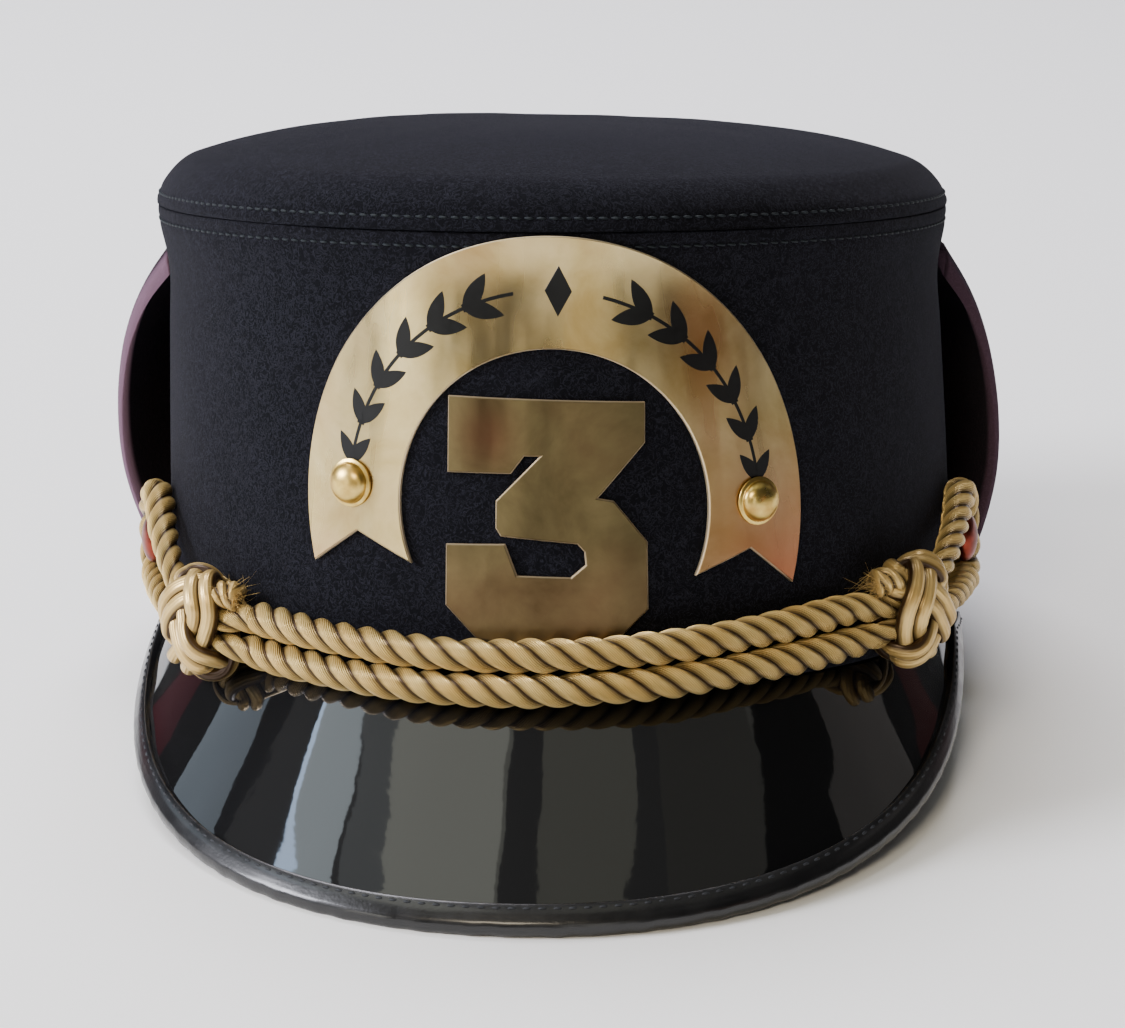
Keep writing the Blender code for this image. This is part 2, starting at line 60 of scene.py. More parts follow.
def addNode(tree, kind, settings=None, links=None):
    # settings go to inputs by name or number, or to the node itself; links are input: (node, output)
    node = tree.nodes.new(kind)
    for key, value in (settings or {}).items():
        if isinstance(key, int) or key in node.inputs:
            node.inputs[key].default_value = value
        else:
            setattr(node, key, value)
    for key, (source, output) in (links or {}).items():
        tree.links.new(source.outputs[output], node.inputs[key])
    return node


def noise(tree, place, scale, detail=2.0, roughness=0.5, distortion=0.0):
    settings = {"Scale": scale, "Detail": detail, "Roughness": roughness, "Distortion": distortion}
    return addNode(tree, "ShaderNodeTexNoise", settings, {"Vector": place}), "Fac"


def spread(tree, source, low, high, bottom=0.0, top=1.0):
    # low to high of the source becomes bottom to top
    settings = {"From Min": low, "From Max": high, "To Min": bottom, "To Max": top}
    return addNode(tree, "ShaderNodeMapRange", settings, {"Value": source}), "Result"


def maths(tree, operation, *values):
    settings = {"operation": operation, **{k: v for k, v in enumerate(values) if not isinstance(v, tuple)}}
    links = {k: v for k, v in enumerate(values) if isinstance(v, tuple)}
    return addNode(tree, "ShaderNodeMath", settings, links), "Value"


def mixed(tree, share, low, high, blending="MIX"):
    # pairs are linked, hex codes and numbers are set
    settings, links = {"data_type": "RGBA", "blend_type": blending}, {}
    for socket, value in ((0, share), (6, low), (7, high)):
        if isinstance(value, tuple):
            links[socket] = value
        else:
            settings[socket] = hexColour(value) if isinstance(value, str) else value
    return addNode(tree, "ShaderNodeMix", settings, links), 2


def bumped(tree, height, strength, distance):
    settings = {"Strength": strength, "Distance": distance}
    return addNode(tree, "ShaderNodeBump", settings, {"Height": height}), "Normal"


def meshValue(tree, name):
    return addNode(tree, "ShaderNodeAttribute", {"attribute_name": name}), "Fac"


def newMaterial(name, settings):
    # the material, its tree, its shader and the object's own coordinates
    material = bpy.data.materials.new(name)
    material.use_nodes = True
    tree = material.node_tree
    shader = tree.nodes["Principled BSDF"]
    for key, value in settings.items():
        shader.inputs[key].default_value = value
    return material, tree, shader, (addNode(tree, "ShaderNodeTexCoord"), "Object")


def feed(tree, shader, sources):
    for socket, (node, output) in sources.items():
        tree.links.new(node.outputs[output], shader.inputs[socket])


# Shapes in the cap's own millimetres

def unit(vectors):
    return vectors / np.maximum(np.linalg.norm(vectors, axis=-1, keepdims=True), 1e-9)


def smoothTable(value, table):
    # cubic through the table's rows, each row's slope being the mean of the slopes beside it
    x, y = np.array(table, float).T
    slope = np.gradient(y, x)
    k = np.clip(np.searchsorted(x, value) - 1, 0, len(x) - 2)
    step = x[k + 1] - x[k]
    t = np.clip((value - x[k]) / step, 0, 1)
    ends = y[k] * (1 + 2 * t) * (1 - t) ** 2 + y[k + 1] * t * t * (3 - 2 * t)
    return ends + step * t * (1 - t) * (slope[k] * (1 - t) - slope[k + 1] * t)


def onWall(angle, height, out):
    # oval point (a sin, -b cos), pushed along the oval's normal by out less the wall's draw-in there
    angle, height, out = np.broadcast_arrays(np.asarray(angle, float), height, out)
    a, b = crown["halfWidth"], crown["halfDepth"]
    away = out - crown["drawIn"] * smoothTable(height / crown["height"], wallShape)
    nx, ny = np.sin(angle) / a, -np.cos(angle) / b
    size = np.hypot(nx, ny)
    x = a * np.sin(angle) + away * nx / size + crown["lean"] * height / crown["height"]
    return np.stack([x, -b * np.cos(angle) + away * ny / size, height + 0 * x], -1)


def wallNormal(angle):
    return onWall(angle, 0.0, 1.0) - onWall(angle, 0.0, 0.0)


# Run along the foot of the wall, from the middle of the front, against the angle round the oval
runInset = 0.4
runHalf = 1440
runAngles = np.linspace(-np.pi, np.pi, 2 * runHalf + 1)
runSteps = np.hypot((crown["halfWidth"] - runInset) * np.cos(runAngles),
                    (crown["halfDepth"] - runInset) * np.sin(runAngles))
runLengths = np.concatenate([[0], np.cumsum((runSteps[1:] + runSteps[:-1]) / 2 * np.diff(runAngles))])
runLengths -= runLengths[runHalf]


def angleOfRun(run):
    return np.interp(run, runLengths, runAngles)


def runOfAngle(angle):
    return np.interp(angle, runAngles, runLengths)


def toFloor(points):
    # leaned back and put on the floor, in metres; what would go under the floor is pressed flat
    c, s = np.cos(capPose["tilt"]), np.sin(capPose["tilt"])
    x, y, z = np.moveaxis(np.asarray(points, float) * mm, -1, 0)
    placed = np.stack([x, y * c - z * s, y * s + z * c], -1) + capPose["place"]
    placed[..., 2] = np.maximum(placed[..., 2], 0.0)
    return placed


def putPiece(name, points, faces, material, slot, stands=(), uv=None, sharp=None, values=None):
    # faces are turned outwards if the signed volume under them comes out negative
    places = toFloor(points.reshape(-1, 3))
    quads = np.array([f for f in faces if len(f) == 4])
    if len(quads):
        p, q, r, t = (places[quads[:, i]] for i in range(4))
        volume = np.einsum("ij,ij->", p, np.cross(q, r)) + np.einsum("ij,ij->", p, np.cross(r, t))
        if volume < 0:
            faces = [f[::-1] for f in faces]
            uv = None if uv is None else [u[::-1] for u in uv]
    mesh = bpy.data.meshes.new(name)
    mesh.from_pydata(places.tolist(), [], faces)
    if uv is not None:
        layer = mesh.uv_layers.new(name="UVMap")
        layer.data.foreach_set("uv", np.concatenate([np.asarray(u, float).reshape(-1) for u in uv]))
    for key, value in (values or {}).items():
        attribute = mesh.attributes.new(key, "FLOAT", "POINT")
        attribute.data.foreach_set("value", np.asarray(value, np.float32).reshape(-1))
    mesh.shade_smooth()
    if sharp:
        mesh.set_sharp_from_angle(angle=np.radians(sharp))
    mesh.materials.append(material)
    piece = bpy.data.objects.new(name, mesh)
    bpy.context.scene.collection.objects.link(piece)
    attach(piece, "root")
    if stands:
        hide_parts(*stands)


def cornersOf(grid):
    # the four corners of every cell
    return np.stack([grid[:-1, :-1], grid[1:, :-1], grid[1:, 1:], grid[:-1, 1:]], 2)


def gridFaces(rows, columns, closeRows=False, caps=False, start=0):
    # quads round every row, with the last row joined to the first or with a cap on both
    index = start + np.arange(rows * columns).reshape(rows, columns)
    if closeRows:
        index = np.concatenate([index, index[:1]])
    index = np.concatenate([index, index[:, :1]], axis=1)
    quads = cornersOf(index).reshape(-1, 4).tolist()
    if caps:
        quads += [index[0, :columns].tolist(), index[-1, :columns][::-1].tolist()]
    return quads


def gridPiece(name, points, material, slot, stands=(), ring=False, **more):
    rows, columns = points.shape[:2]
    putPiece(name, points, gridFaces(rows, columns, ring, not ring), material, slot, stands, **more)


def gridUv(u, v, caps=0):
    # u and v are the values at the grid's lines, with the closing line's own value last
    grid = np.stack(np.broadcast_arrays(np.asarray(u, float)[:, None], np.asarray(v, float)[None, :]), -1)
    return list(cornersOf(grid).reshape(-1, 4, 2)) + [np.zeros((caps, 2)) + grid[0, 0]] * (2 if caps else 0)


def turnSteps(count):
    return np.linspace(0, turn, count, endpoint=False)


def strandPiece(name, line, side, lift, radius, corners, material, slot):
    # a capped tube along every line, its section spanned by side and lift
    count, rings = line.shape[:2]
    swing = turnSteps(corners)[:, None]
    ring = side[:, None] * np.cos(swing) + lift[:, None] * np.sin(swing)
    points = line[:, :, None] + ring[:, None] * radius[None, :, None, None]
    size = rings * corners
    first = (np.arange(count) * size)[:, None]
    one = np.array(gridFaces(rings, corners))
    quads = (one[None] + first[:, None]).reshape(-1, 4).tolist()
    ends = np.arange(corners)
    caps = (ends + first).tolist() + (ends[::-1] + size - corners + first).tolist()
    putPiece(name, points, quads + caps, material, slot)


def catmull(rows, count, closed):
    # evenly spaced points on a Catmull-Rom curve through the rows; x, y and z are the first three columns
    rows = np.array(rows, float)
    if closed:
        rows = np.concatenate([rows[-1:], rows, rows[:2]])
    else:
        rows = np.concatenate([2 * rows[:1] - rows[1:2], rows, 2 * rows[-1:] - rows[-2:-1]])
    t = np.linspace(0, 1, 24, endpoint=False)[None, :, None]
    a, b, c, d = (part[:, None, :] for part in (rows[:-3], rows[1:-2], rows[2:-1], rows[3:]))
    bend = (2 * a - 5 * b + 4 * c - d) * t ** 2 + (3 * b - a - 3 * c + d) * t ** 3
    dense = 0.5 * (2 * b + (c - a) * t + bend)
    dense = np.concatenate([dense.reshape(-1, rows.shape[1]), rows[-2:-1]])
    length = np.concatenate([[0], np.cumsum(np.linalg.norm(np.diff(dense[:, :3], axis=0), axis=1))])
    target = np.linspace(0, length[-1], count + 1)[:-1] if closed else np.linspace(0, length[-1], count)
    return np.stack([np.interp(target, length, column) for column in dense.T], -1)


def carried(path, outward, section, closed=False):
    # section[station or 0, corner] = (along side, along outward), carried along the path
    tangent = np.roll(path, -1, 0) - np.roll(path, 1, 0) if closed else np.gradient(path, axis=0)
    tangent = unit(tangent)
    out = unit(outward - (outward * tangent).sum(-1, keepdims=True) * tangent)
    side = np.cross(out, tangent)
    section = np.broadcast_to(section, (len(path), *np.shape(section)[-2:]))
    return path[:, None] + side[:, None] * section[..., :1] + out[:, None] * section[..., 1:]


# Each wave's share, its number of crests round the oval, its shift and what it turns by per mm up (radians)
feltWaves = [(1.0, 3, 1.1, 0.031), (0.8, 5, -0.7, 0.055), (0.6, 9, 2.3, -0.083), (0.35, 17, 0.4, 0.14)]


def lumps(angle, height, size):
    # slow unevenness of hand-worked felt: a few sine waves round the oval and up the wall
    wave = 0
    for share, crests, shift, climb in feltWaves:
        wave = wave + share * np.sin(crests * angle + shift + height * climb)
    return size * wave / sum(row[0] for row in feltWaves)


# Felt

def woolFelt(name, dark, light, fibre, sheen, cut=None):
    # milled wool felt: matt, with clouded shade and a tangle of fine pale fibres lying in the surface
    material, tree, shader, place = newMaterial(name, {
        "Roughness": 0.95, "Specular IOR Level": 0.05, "Sheen Weight": sheen, "Sheen Roughness": 0.5,
        "Sheen Tint": hexColour("#b4b4c8")})
    # fibres under 1 mm apart: thin lines where a twisted noise passes its middle value
    tangle = noise(tree, place, 600.0, 3.0, 0.6, 1.8)
    line = spread(tree, maths(tree, "ABSOLUTE", maths(tree, "SUBTRACT", tangle, 0.5)), 0.0, 0.045, 1.0, 0.0)
    grain = noise(tree, place, 1900.0, 3.0, 0.7)
    cloth = mixed(tree, noise(tree, place, 85.0, 5.0, 0.62), dark, light)
    tint = mixed(tree, maths(tree, "MULTIPLY", line, grain), cloth, fibre)
    # painted sheen: where the mesh value says so, the brim's cut edges are tinted towards the paler cut
    # colour
    if cut:
        tint = mixed(tree, meshValue(tree, "cutEdgeSheen"), tint, cut)
    rise = maths(tree, "MULTIPLY_ADD", line, 0.5, grain)
    feed(tree, shader, {"Base Color": tint, "Normal": bumped(tree, rise, 0.42, 0.0004)})
    return material


crownFelt = woolFelt("woolFeltBlueBlack", "#07080a", "#0e0e13", "#2d2e38", 0.068)
# the last colour is a painted sheen for the brim's cut edges
brimFelt = woolFelt("woolFeltPlumBlack", "#180d13", "#22131b", "#48323e", 0.08, "#6e5666")

# The seam round the crown's top: stitches above and below it, what they pull in and what swells (mm)
seam = {"steps": 360, "round": 580, "pitch": 2.6, "rollIn": 0.13, "stitchAbove": 2.6, "stitchBelow": 2.9,
        "stitchGroove": 0.24, "thread": 0.5, "pucker": 0.08, "puckerSpan": 3.5, "swellBelow": 1.25,
        "swellAt": 4.0, "swellSpan": 7.0, "halfStitch": 0.36, "slant": 0.08, "lumps": 0.42}
seamStitchCount = round(seam["round"] / seam["pitch"])

crownTop = {"base": 86.98, "shoulder": 10.0, "shoulderEnd": 74, "lip": 0.3, "rise": 17.1, "flatness": 3.4,
            "swell": 1.15, "swellAt": 0.6, "swellSpan": 4.2, "sag": 0.1, "roll": 0.5, "rollWidth": 25.0}
topDrawIn = crown["drawIn"] * wallShape[-1][1]
topEdge = {"wide": crown["halfWidth"] - topDrawIn, "deep": crown["halfDepth"] - topDrawIn}


def sideShare(angle):
    # 1 at the crown's sides and 0.15 behind the badge and at the back, where the felt lies flat
    t = np.clip((np.abs(np.sin(angle)) - 0.45) / 0.35, 0, 1)
    return 0.15 + 0.85 * t * t * (3 - 2 * t)


def stitchDent(distance):
    # the thread pulls a narrow furrow into the felt: a bell curve 1.2 mm wide
    return seam["stitchGroove"] * np.exp(-(distance / 0.75) ** 2)


def seamPucker(angle, fromSeam):
    return seam["pucker"] * np.sin(angle * seamStitchCount) * np.exp(-(fromSeam / seam["puckerSpan"]) ** 2)


def sideSwell(belowEdge):
    return seam["swellBelow"] * np.exp(-((belowEdge - seam["swellAt"]) / seam["swellSpan"]) ** 2)


def crownSidePiece():
    # out(height) = the wall's own shape, less stitch furrow and a rolled edge; inside is one wall in
    tall, inside = crown["height"], -crown["wall"]
    angle = turnSteps(seam["steps"])[:, None]
    rise = np.concatenate([np.linspace(0.9, tall - 9, 34), np.linspace(tall - 8.6, tall - 0.14, 26)])
    roll = seam["rollIn"] * np.clip(1 - (tall - rise) / 1.9, 0, 1) ** 2.2
    out = -roll - stitchDent(rise - (tall - seam["stitchBelow"]))
    inner = np.linspace(tall - 0.5, 0.8, 18)
    height = np.concatenate([rise, [tall - 0.1, tall - 0.1], inner, [0.22, 0.0, 0.0, 0.22]])[None, :]
    away = np.concatenate([out, [-0.6, inside + 0.5], np.full(18, inside),
                           [inside + 0.18, inside + 0.7, -0.75, -0.2]])[None, :]
    pucker = seamPucker(angle, tall - height) * (away > -2)
    free = np.clip((tall - height) / 12, 0, 1) * np.clip(height / 14, 0, 1)
    swell = np.concatenate([sideSwell(tall - rise), np.zeros(height.size - rise.size)])[None, :]
    away = away + swell * sideShare(angle) + pucker + lumps(angle, height, seam["lumps"]) * free
    gridPiece("crownSideFelt", onWall(angle, height, away), crownFelt, "felt", ["crown_side"], ring=True)


def topSwell(lift):
    # a bell curve above the seam, less the rolled edge at it and a slight sag of the shoulder higher up
    bell = crownTop["swell"] * np.exp(-((lift - crownTop["swellAt"]) / crownTop["swellSpan"]) ** 2)
    roll = seam["rollIn"] * np.clip(1 - (lift - 0.3) / 1.6, 0, 1) ** 2.0
    return bell - roll - crownTop["sag"] * np.clip((lift - 5) / 3, 0, 1)


def onTop(angle, reach, height, more):
    # a point of the top, at a share of the way out to its edge
    up = crownTop["base"] + height + more + 0 * reach
    return np.stack([topEdge["wide"] * reach * np.sin(angle) + crown["lean"],
                     -topEdge["deep"] * reach * np.cos(angle), up], -1)


def crownTopPiece():
    # a quarter-round shoulder up to its end angle, then rise x (1 - share ^ flatness) to the middle
    edge, wall = topEdge["wide"], crown["wall"]
    swing = np.radians(np.linspace(0, crownTop["shoulderEnd"], 22))
    inset = crownTop["shoulder"] * (1 - np.cos(swing))
    lift = crownTop["lip"] + crownTop["shoulder"] * np.sin(swing)
    last = 1 - inset[-1] / edge
    rest = np.linspace(last, 0.006, 44)[1:]
    crest = (crownTop["rise"] - lift[-1]) * (1 - (rest / last) ** crownTop["flatness"])
    share = np.concatenate([1 - inset / edge, rest])
    height = np.concatenate([lift, lift[-1] + crest])
    swell = topSwell(height) * (share > 0.85)
    dent = stitchDent(height - seam["stitchAbove"]) * (share > 0.9)
    # from the inner skin's middle down to the lip, round its lower edge and up the outer skin
    lipOut = np.array([-wall, -wall + 0.3, -1.2, 0.55])
    inner = 0 * share
    allShare = np.concatenate([share[::-1] * (1 - wall / edge), np.full(4, 1.0), share])
    allSwell = np.concatenate([inner, 0 * lipOut, swell])[:, None]
    plain = np.concatenate([inner, lipOut, -dent])[:, None]
    allHeight = np.concatenate([np.maximum(height[::-1] - wall, 0.8), [0.7, 0.05, 0.0, 0.06], height])
    allShare, allHeight = allShare[:, None], allHeight[:, None]
    angle = turnSteps(seam["steps"])[None, :]
    reach = allShare + (allSwell * sideShare(angle) + plain) / edge + seamPucker(angle, allHeight) / edge
    dip = lumps(angle, 60 * allShare, 0.4) * np.clip(1.02 - allShare, 0, 0.5) * 2
    dip = dip * np.clip(allShare / 0.6, 0, 1) ** 2
    # the top leans up to the left, as the hand-blocked felt does
    side = allShare * np.sin(angle) * crown["halfWidth"] / crownTop["rollWidth"]
    lean = -np.tanh(side) * np.clip(allHeight / 9, 0, 1)
    dip = dip + crownTop["roll"] * (lean + 0.5 * np.clip(allHeight / 12, 0, 1))
    gridPiece("crownTopFelt", onTop(angle, reach, allHeight, dip), crownFelt, "felt", ["crown_top"])


# The turned-up brim: where it starts round the oval (degrees), its height, bulge and thickness (mm)
brim = {"start": 94.0, "tall": 77.0, "bulge": 10.4, "skew": -0.1, "corner": 6.0, "thick": 2.6, "steps": 300,
        "flare": 0.5, "flareSpan": 9.0, "rounded": 1.25, "lumps": 0.35}
brimShape = [(0.0, 0.0), (0.06, 0.10), (0.20, 0.55), (0.37, 0.90), (0.54, 1.0), (0.63, 0.98), (0.79, 0.80),
             (0.91, 0.47), (1.0, 0.06)]


def brimPiece():
    # middle line out(height) = gap + half thickness + bulge x shape, thickened both ways along its normal
    meanRadius = (crown["halfWidth"] + crown["halfDepth"]) / 2
    along = np.linspace(0, 1, brim["steps"])
    first, last = np.radians(brim["start"]), np.radians(360 - brim["start"])
    # steps are closer towards both ends
    angle = first + (last - first) * (0.55 * along + 0.45 * (0.5 - 0.5 * np.cos(np.pi * along)))
    run = (angle - first) * meanRadius
    run = np.minimum(run, run[::-1])
    short = np.clip(1 - run / brim["corner"], 0, 1)
    tall = brim["tall"] - brim["corner"] * (1 - np.sqrt(np.clip(1 - short ** 2, 0, 1)))
    level = np.linspace(0, 1, 64)
    height = level[None, :] * (tall[:, None] - 0.6) + 0.2
    shape = smoothTable(level, brimShape)[None, :]
    bulge = brim["bulge"] * (1 + brim["skew"] * np.sin(angle))[:, None]
    # the free front edges stand a touch prouder, as felt does that was steamed and let go
    flare = brim["flare"] * np.exp(-run / brim["flareSpan"])[:, None] * np.sin(np.pi * level)[None, :]
    out = crown["gap"] + brim["thick"] / 2 + 0.05 + bulge * shape + flare
    out = out + lumps(angle[:, None], height, brim["lumps"]) * shape
    slopeOut, slopeUp = np.gradient(out, axis=1), np.gradient(height, axis=1)
    size = np.hypot(slopeOut, slopeUp)
    # the cut ends are rounded off
    blunt = np.clip(1 - run / brim["rounded"], 0, 1)
    half = np.maximum(brim["thick"] / 2 * np.sqrt(np.clip(1 - blunt ** 2, 0.0, 1))[:, None], 0.02)
    sideOut, sideUp = slopeUp / size * half, -slopeOut / size * half
    swing = np.linspace(np.pi / 2, -np.pi / 2, 7)[1:-1]
    outerEdge = np.stack([out + sideOut, height + sideUp], -1)
    innerEdge = np.stack([out - sideOut, height - sideUp], -1)[:, ::-1]
    upperOut, upperUp = out[:, -1:] + half * np.sin(swing), height[:, -1:] + half * np.cos(swing) * 0.9
    section = np.concatenate([outerEdge, np.stack([upperOut, upperUp], -1), innerEdge], 1)
    points = onWall(angle[:, None], np.maximum(section[..., 1], 0), np.maximum(section[..., 0], 0.12))
    # painted sheen on the cut edges, strongest near each cut end; the right-hand end gets only 0.35 of it,
    # as painted shade
    endSheenShare = np.where(angle < np.pi, 0.35, 1.0)
    cutEdgeSheen = np.repeat(np.clip(1.5 - run / 1.3, 0, 1) * endSheenShare, points.shape[1])
    gridPiece("turnedUpBrimFelt", points, brimFelt, "brim_felt", ["turned_up_brim"],
              values={"cutEdgeSheen": cutEdgeSheen})


crownSidePiece()
crownTopPiece()
brimPiece()
print("felt: crown side, crown top and turned-up brim")


# Stitches

def waxedThread(name, dark, light):
    # waxed polyester thread: a low even gloss on a round strand
    material, tree, shader, place = newMaterial(name, {"Roughness": 0.58, "Specular IOR Level": 0.2})
    feed(tree, shader, {"Base Color": mixed(tree, noise(tree, place, 900.0), dark, light)})
    return material


def stitchRow(name, start, end, outward, width, sag, material, slot):
    # each stitch is a short strand: straight run between its ends plus a low sine arch, thinner at the ends
    t = np.linspace(0, 1, 6)
    arch = np.sin(np.pi * t) ** 0.7
    line = start[:, None] + (end - start)[:, None] * t[:, None]
    line = line + outward[:, None] * (arch * (width * 0.35 + sag) - width * 0.25)[:, None]
    side = np.cross(outward, unit(end - start))
    strandPiece(name, line, side * 1.1, outward * 0.8, width / 2 * (0.45 + 0.55 * arch), 5, material, slot)


def seamStitches():
    thread = waxedThread("waxedThreadSlate", "#11161a", "#1b2227")
    angle = turnSteps(seamStitchCount)
    half = seam["halfStitch"] * turn / seamStitchCount
    ends = ((-half, seam["slant"]), (half, -seam["slant"]))
    proud = sideSwell(seam["stitchBelow"]) * sideShare(angle) - seam["stitchGroove"] + 0.1
    height = crown["height"] - seam["stitchBelow"]
    below = [onWall(angle + step, height + tilt, proud) for step, tilt in ends]
    lift = seam["stitchAbove"]
    inset = crownTop["shoulder"] * (1 - np.sqrt(1 - ((lift - crownTop["lip"]) / crownTop["shoulder"]) ** 2))
    swell = topSwell(lift) * sideShare(angle)
    reach = 1 - (inset - swell + seam["stitchGroove"] - 0.12) / topEdge["wide"]
    above = [onTop(angle + step, reach, lift, tilt) for step, tilt in ends]
    for name, row in (("seamStitchesBelow", below), ("seamStitchesAbove", above)):
        stitchRow(name, row[0], row[1], wallNormal(angle), seam["thread"], 0.05, thread, "felt")


seamStitches()
print("seam stitches")


# Peak and its binding: degrees round the front, slopes from level, mm down the slope
peak = {"length": 50.3, "endLength": 3.5, "halfAngle": 88.5, "turn": -2.6, "frontSlope": 48.8,
        "sideSlope": 62.5, "thick": 2.0, "steps": 260, "binding": 5.6, "bindingThick": 1.0,
        "bindingSteps": 320, "stitchPitch": 2.8, "stitchShare": 0.68, "thread": 0.55}
bindingOver = crown["gap"] + peak["bindingThick"]


def peakFrame(share):
    # slope grows with the square of the share round; length falls off as (1 - share^2.3)^1.9
    angle = share * np.radians(peak["halfAngle"]) + np.radians(peak["turn"])
    slope = np.radians(peak["frontSlope"] + (peak["sideSlope"] - peak["frontSlope"]) * share ** 2)
    length = peak["endLength"] + (peak["length"] - peak["endLength"]) * (1 - np.abs(share) ** 2.3) ** 1.9
    root = onWall(angle, -0.2, crown["gap"])
    flat, up = wallNormal(angle), np.array([0.0, 0.0, 1.0])
    along = flat * np.cos(slope)[:, None] - up * np.sin(slope)[:, None]
    normal = flat * np.sin(slope)[:, None] + up * np.cos(slope)[:, None]
    return root, flat, along, normal, length


def bindingWidth(length):
    return np.minimum(peak["binding"], length - 0.7)


def patentLeather():
    # patent leather: black hide under a thick clear lacquer that gives sharp, slightly wavy reflections
    material, tree, shader, place = newMaterial("patentLeatherBlack", {
        "Base Color": hexColour("#050506"), "Specular IOR Level": 0.04, "Coat Weight": 1.0,
        "Coat Roughness": 0.035, "Coat IOR": 1.52})
    # slow swell of the lacquer over the hide, about 25 mm from crest to crest, with a fine peel on it
    swell = noise(tree, place, 42.0, 1.5, 0.4)
    rise = maths(tree, "MULTIPLY_ADD", noise(tree, place, 240.0), 0.06, swell)
    dust = noise(tree, place, 600.0, 4.0)
    feed(tree, shader, {"Coat Normal": bumped(tree, rise, 0.17, 0.0011),
                        "Roughness": spread(tree, dust, 0.4, 0.8, 0.5, 0.62)})
    return material


def bindingLeather():
    # coated binding leather: fine pebble grain 0.6 mm across, a soft wide sheen on the roll
    material, tree, shader, place = newMaterial("bindingLeatherBlack", {
        "Base Color": hexColour("#0c0c0e"), "Specular IOR Level": 0.35, "Coat Weight": 0.5,
        "Coat Roughness": 0.17})
    pebble = addNode(tree, "ShaderNodeTexVoronoi", {"Scale": 1700.0}, {"Vector": place})
    crease = noise(tree, place, 160.0, 5.0, 0.6)
    rise = maths(tree, "MULTIPLY_ADD", (pebble, "Distance"), 0.16, crease)
    feed(tree, shader, {"Normal": bumped(tree, rise, 0.35, 0.0004),
                        "Roughness": spread(tree, crease, 0.35, 0.7, 0.28, 0.46)})
    return material


def peakPiece():
    # two skins a thickness apart down the slope; the root is turned in under the crown's lower edge
    share = np.linspace(-1, 1, peak["steps"])
    root, flat, along, normal, length = peakFrame(share)
    clasp = length - bindingWidth(length) - crown["gap"]
    reach = length - bindingOver
    down = np.linspace(0, 1, 40)
    steps = np.concatenate([clasp[:, None] * down[None, :], reach[:, None]], 1)
    # lacquered leather never lies quite true: two slow waves of about 0.05 mm
    wave = 0.06 * np.sin(share * 41 + 0.6)[:, None] * np.sin(down * 2.6 + 1.0)[None, :]
    wave = wave + 0.05 * np.sin(share * 67 + 2.0)[:, None] * down[None, :]
    wave = np.concatenate([wave, wave[:, -1:] * 0], 1)
    top = root[:, None] + along[:, None] * steps[..., None] + normal[:, None] * wave[..., None]
    under = top - normal[:, None] * peak["thick"]
    tuckTop = root - flat * 2.4 + np.array([0, 0, -0.12])
    tuckUnder = tuckTop - np.array([0, 0, 1.2])
    points = np.concatenate([tuckTop[:, None], top, under[:, ::-1], tuckUnder[:, None]], 1)
    gridPiece("peakPatentLeather", points, patentLeather(), "patent", ["peak"], sharp=40)


def bindingPiece():
    # flat upper flange, a half-round roll over the edge and a flat lower flange
    share = np.linspace(-1, 1, peak["bindingSteps"])
    root, flat, along, normal, length = peakFrame(share)
    roll = peak["thick"] / 2 + bindingOver
    start = (length - bindingWidth(length))[:, None]
    centre = (length - roll)[:, None]
    tip = (length - peak["bindingThick"])[:, None]
    swing = np.radians(np.linspace(90, -90, 19))
    ramp = np.linspace(0, 1, 7)[1:-1]
    flangeAt = start + 0.25
    flange = flangeAt + np.maximum(centre - flangeAt, 0.05) * ramp
    across = np.concatenate([
        start, start + 0.02, start + 0.1, flangeAt, flange,
        np.maximum(centre + roll * np.cos(swing) ** 0.92, start + 0.4),
        flange[:, ::-1], flangeAt, start, start, tip, tip], 1)
    top, under, inner = bindingOver, -peak["thick"] - bindingOver, -peak["thick"] - crown["gap"]
    rise = np.concatenate([
        [crown["gap"] - 0.28, top - 0.35, top - 0.12, top - 0.03],
        top - 0.03 + 0.03 * ramp + 0.14 * np.sin(np.pi * ramp),
        -peak["thick"] / 2 + roll * np.sin(swing),
        np.full(5, under), [under, under + 0.3, inner + 0.25, inner, crown["gap"]]])
    # the hide gathers a little round the curve: shallow ripples 5 to 8 mm long on the roll
    ripple = 0.07 * np.sin(share * 150) + 0.05 * np.sin(share * 231 + 1.3)
    rolled = np.clip((across - centre) / roll, 0, 1)
    points = root[:, None] + along[:, None] * (across + ripple[:, None] * rolled)[..., None]
    points = points + normal[:, None] * rise[None, :, None]
    gridPiece("peakBindingLeather", points, bindingLeather(), "binding", ["peak_binding"], sharp=55)


def bindingStitches():
    thread = waxedThread("waxedThreadBlack", "#1c1d20", "#33363b")
    root, flat, along, normal, length = peakFrame(np.linspace(-0.985, 0.985, 1201))
    across = length - bindingWidth(length) + 1.15
    line = root + along * across[:, None] + normal * (bindingOver + 0.02)
    run = np.concatenate([[0], np.cumsum(np.linalg.norm(np.diff(line, axis=0), axis=1))])
    pitch = peak["stitchPitch"]
    long = pitch * peak["stitchShare"]
    starts = np.arange(0.4, run[-1] - pitch, pitch)

    def at(columns, place):
        return np.stack([np.interp(place, run, column) for column in columns.T], -1)

    up = unit(at(normal, starts + long / 2))
    stitchRow("bindingStitches", at(line, starts), at(line, starts + long), up, peak["thread"], 0.02, thread,
              "binding")


peakPiece()
bindingPiece()
bindingStitches()
print("peak, binding and its stitches")


# Brass

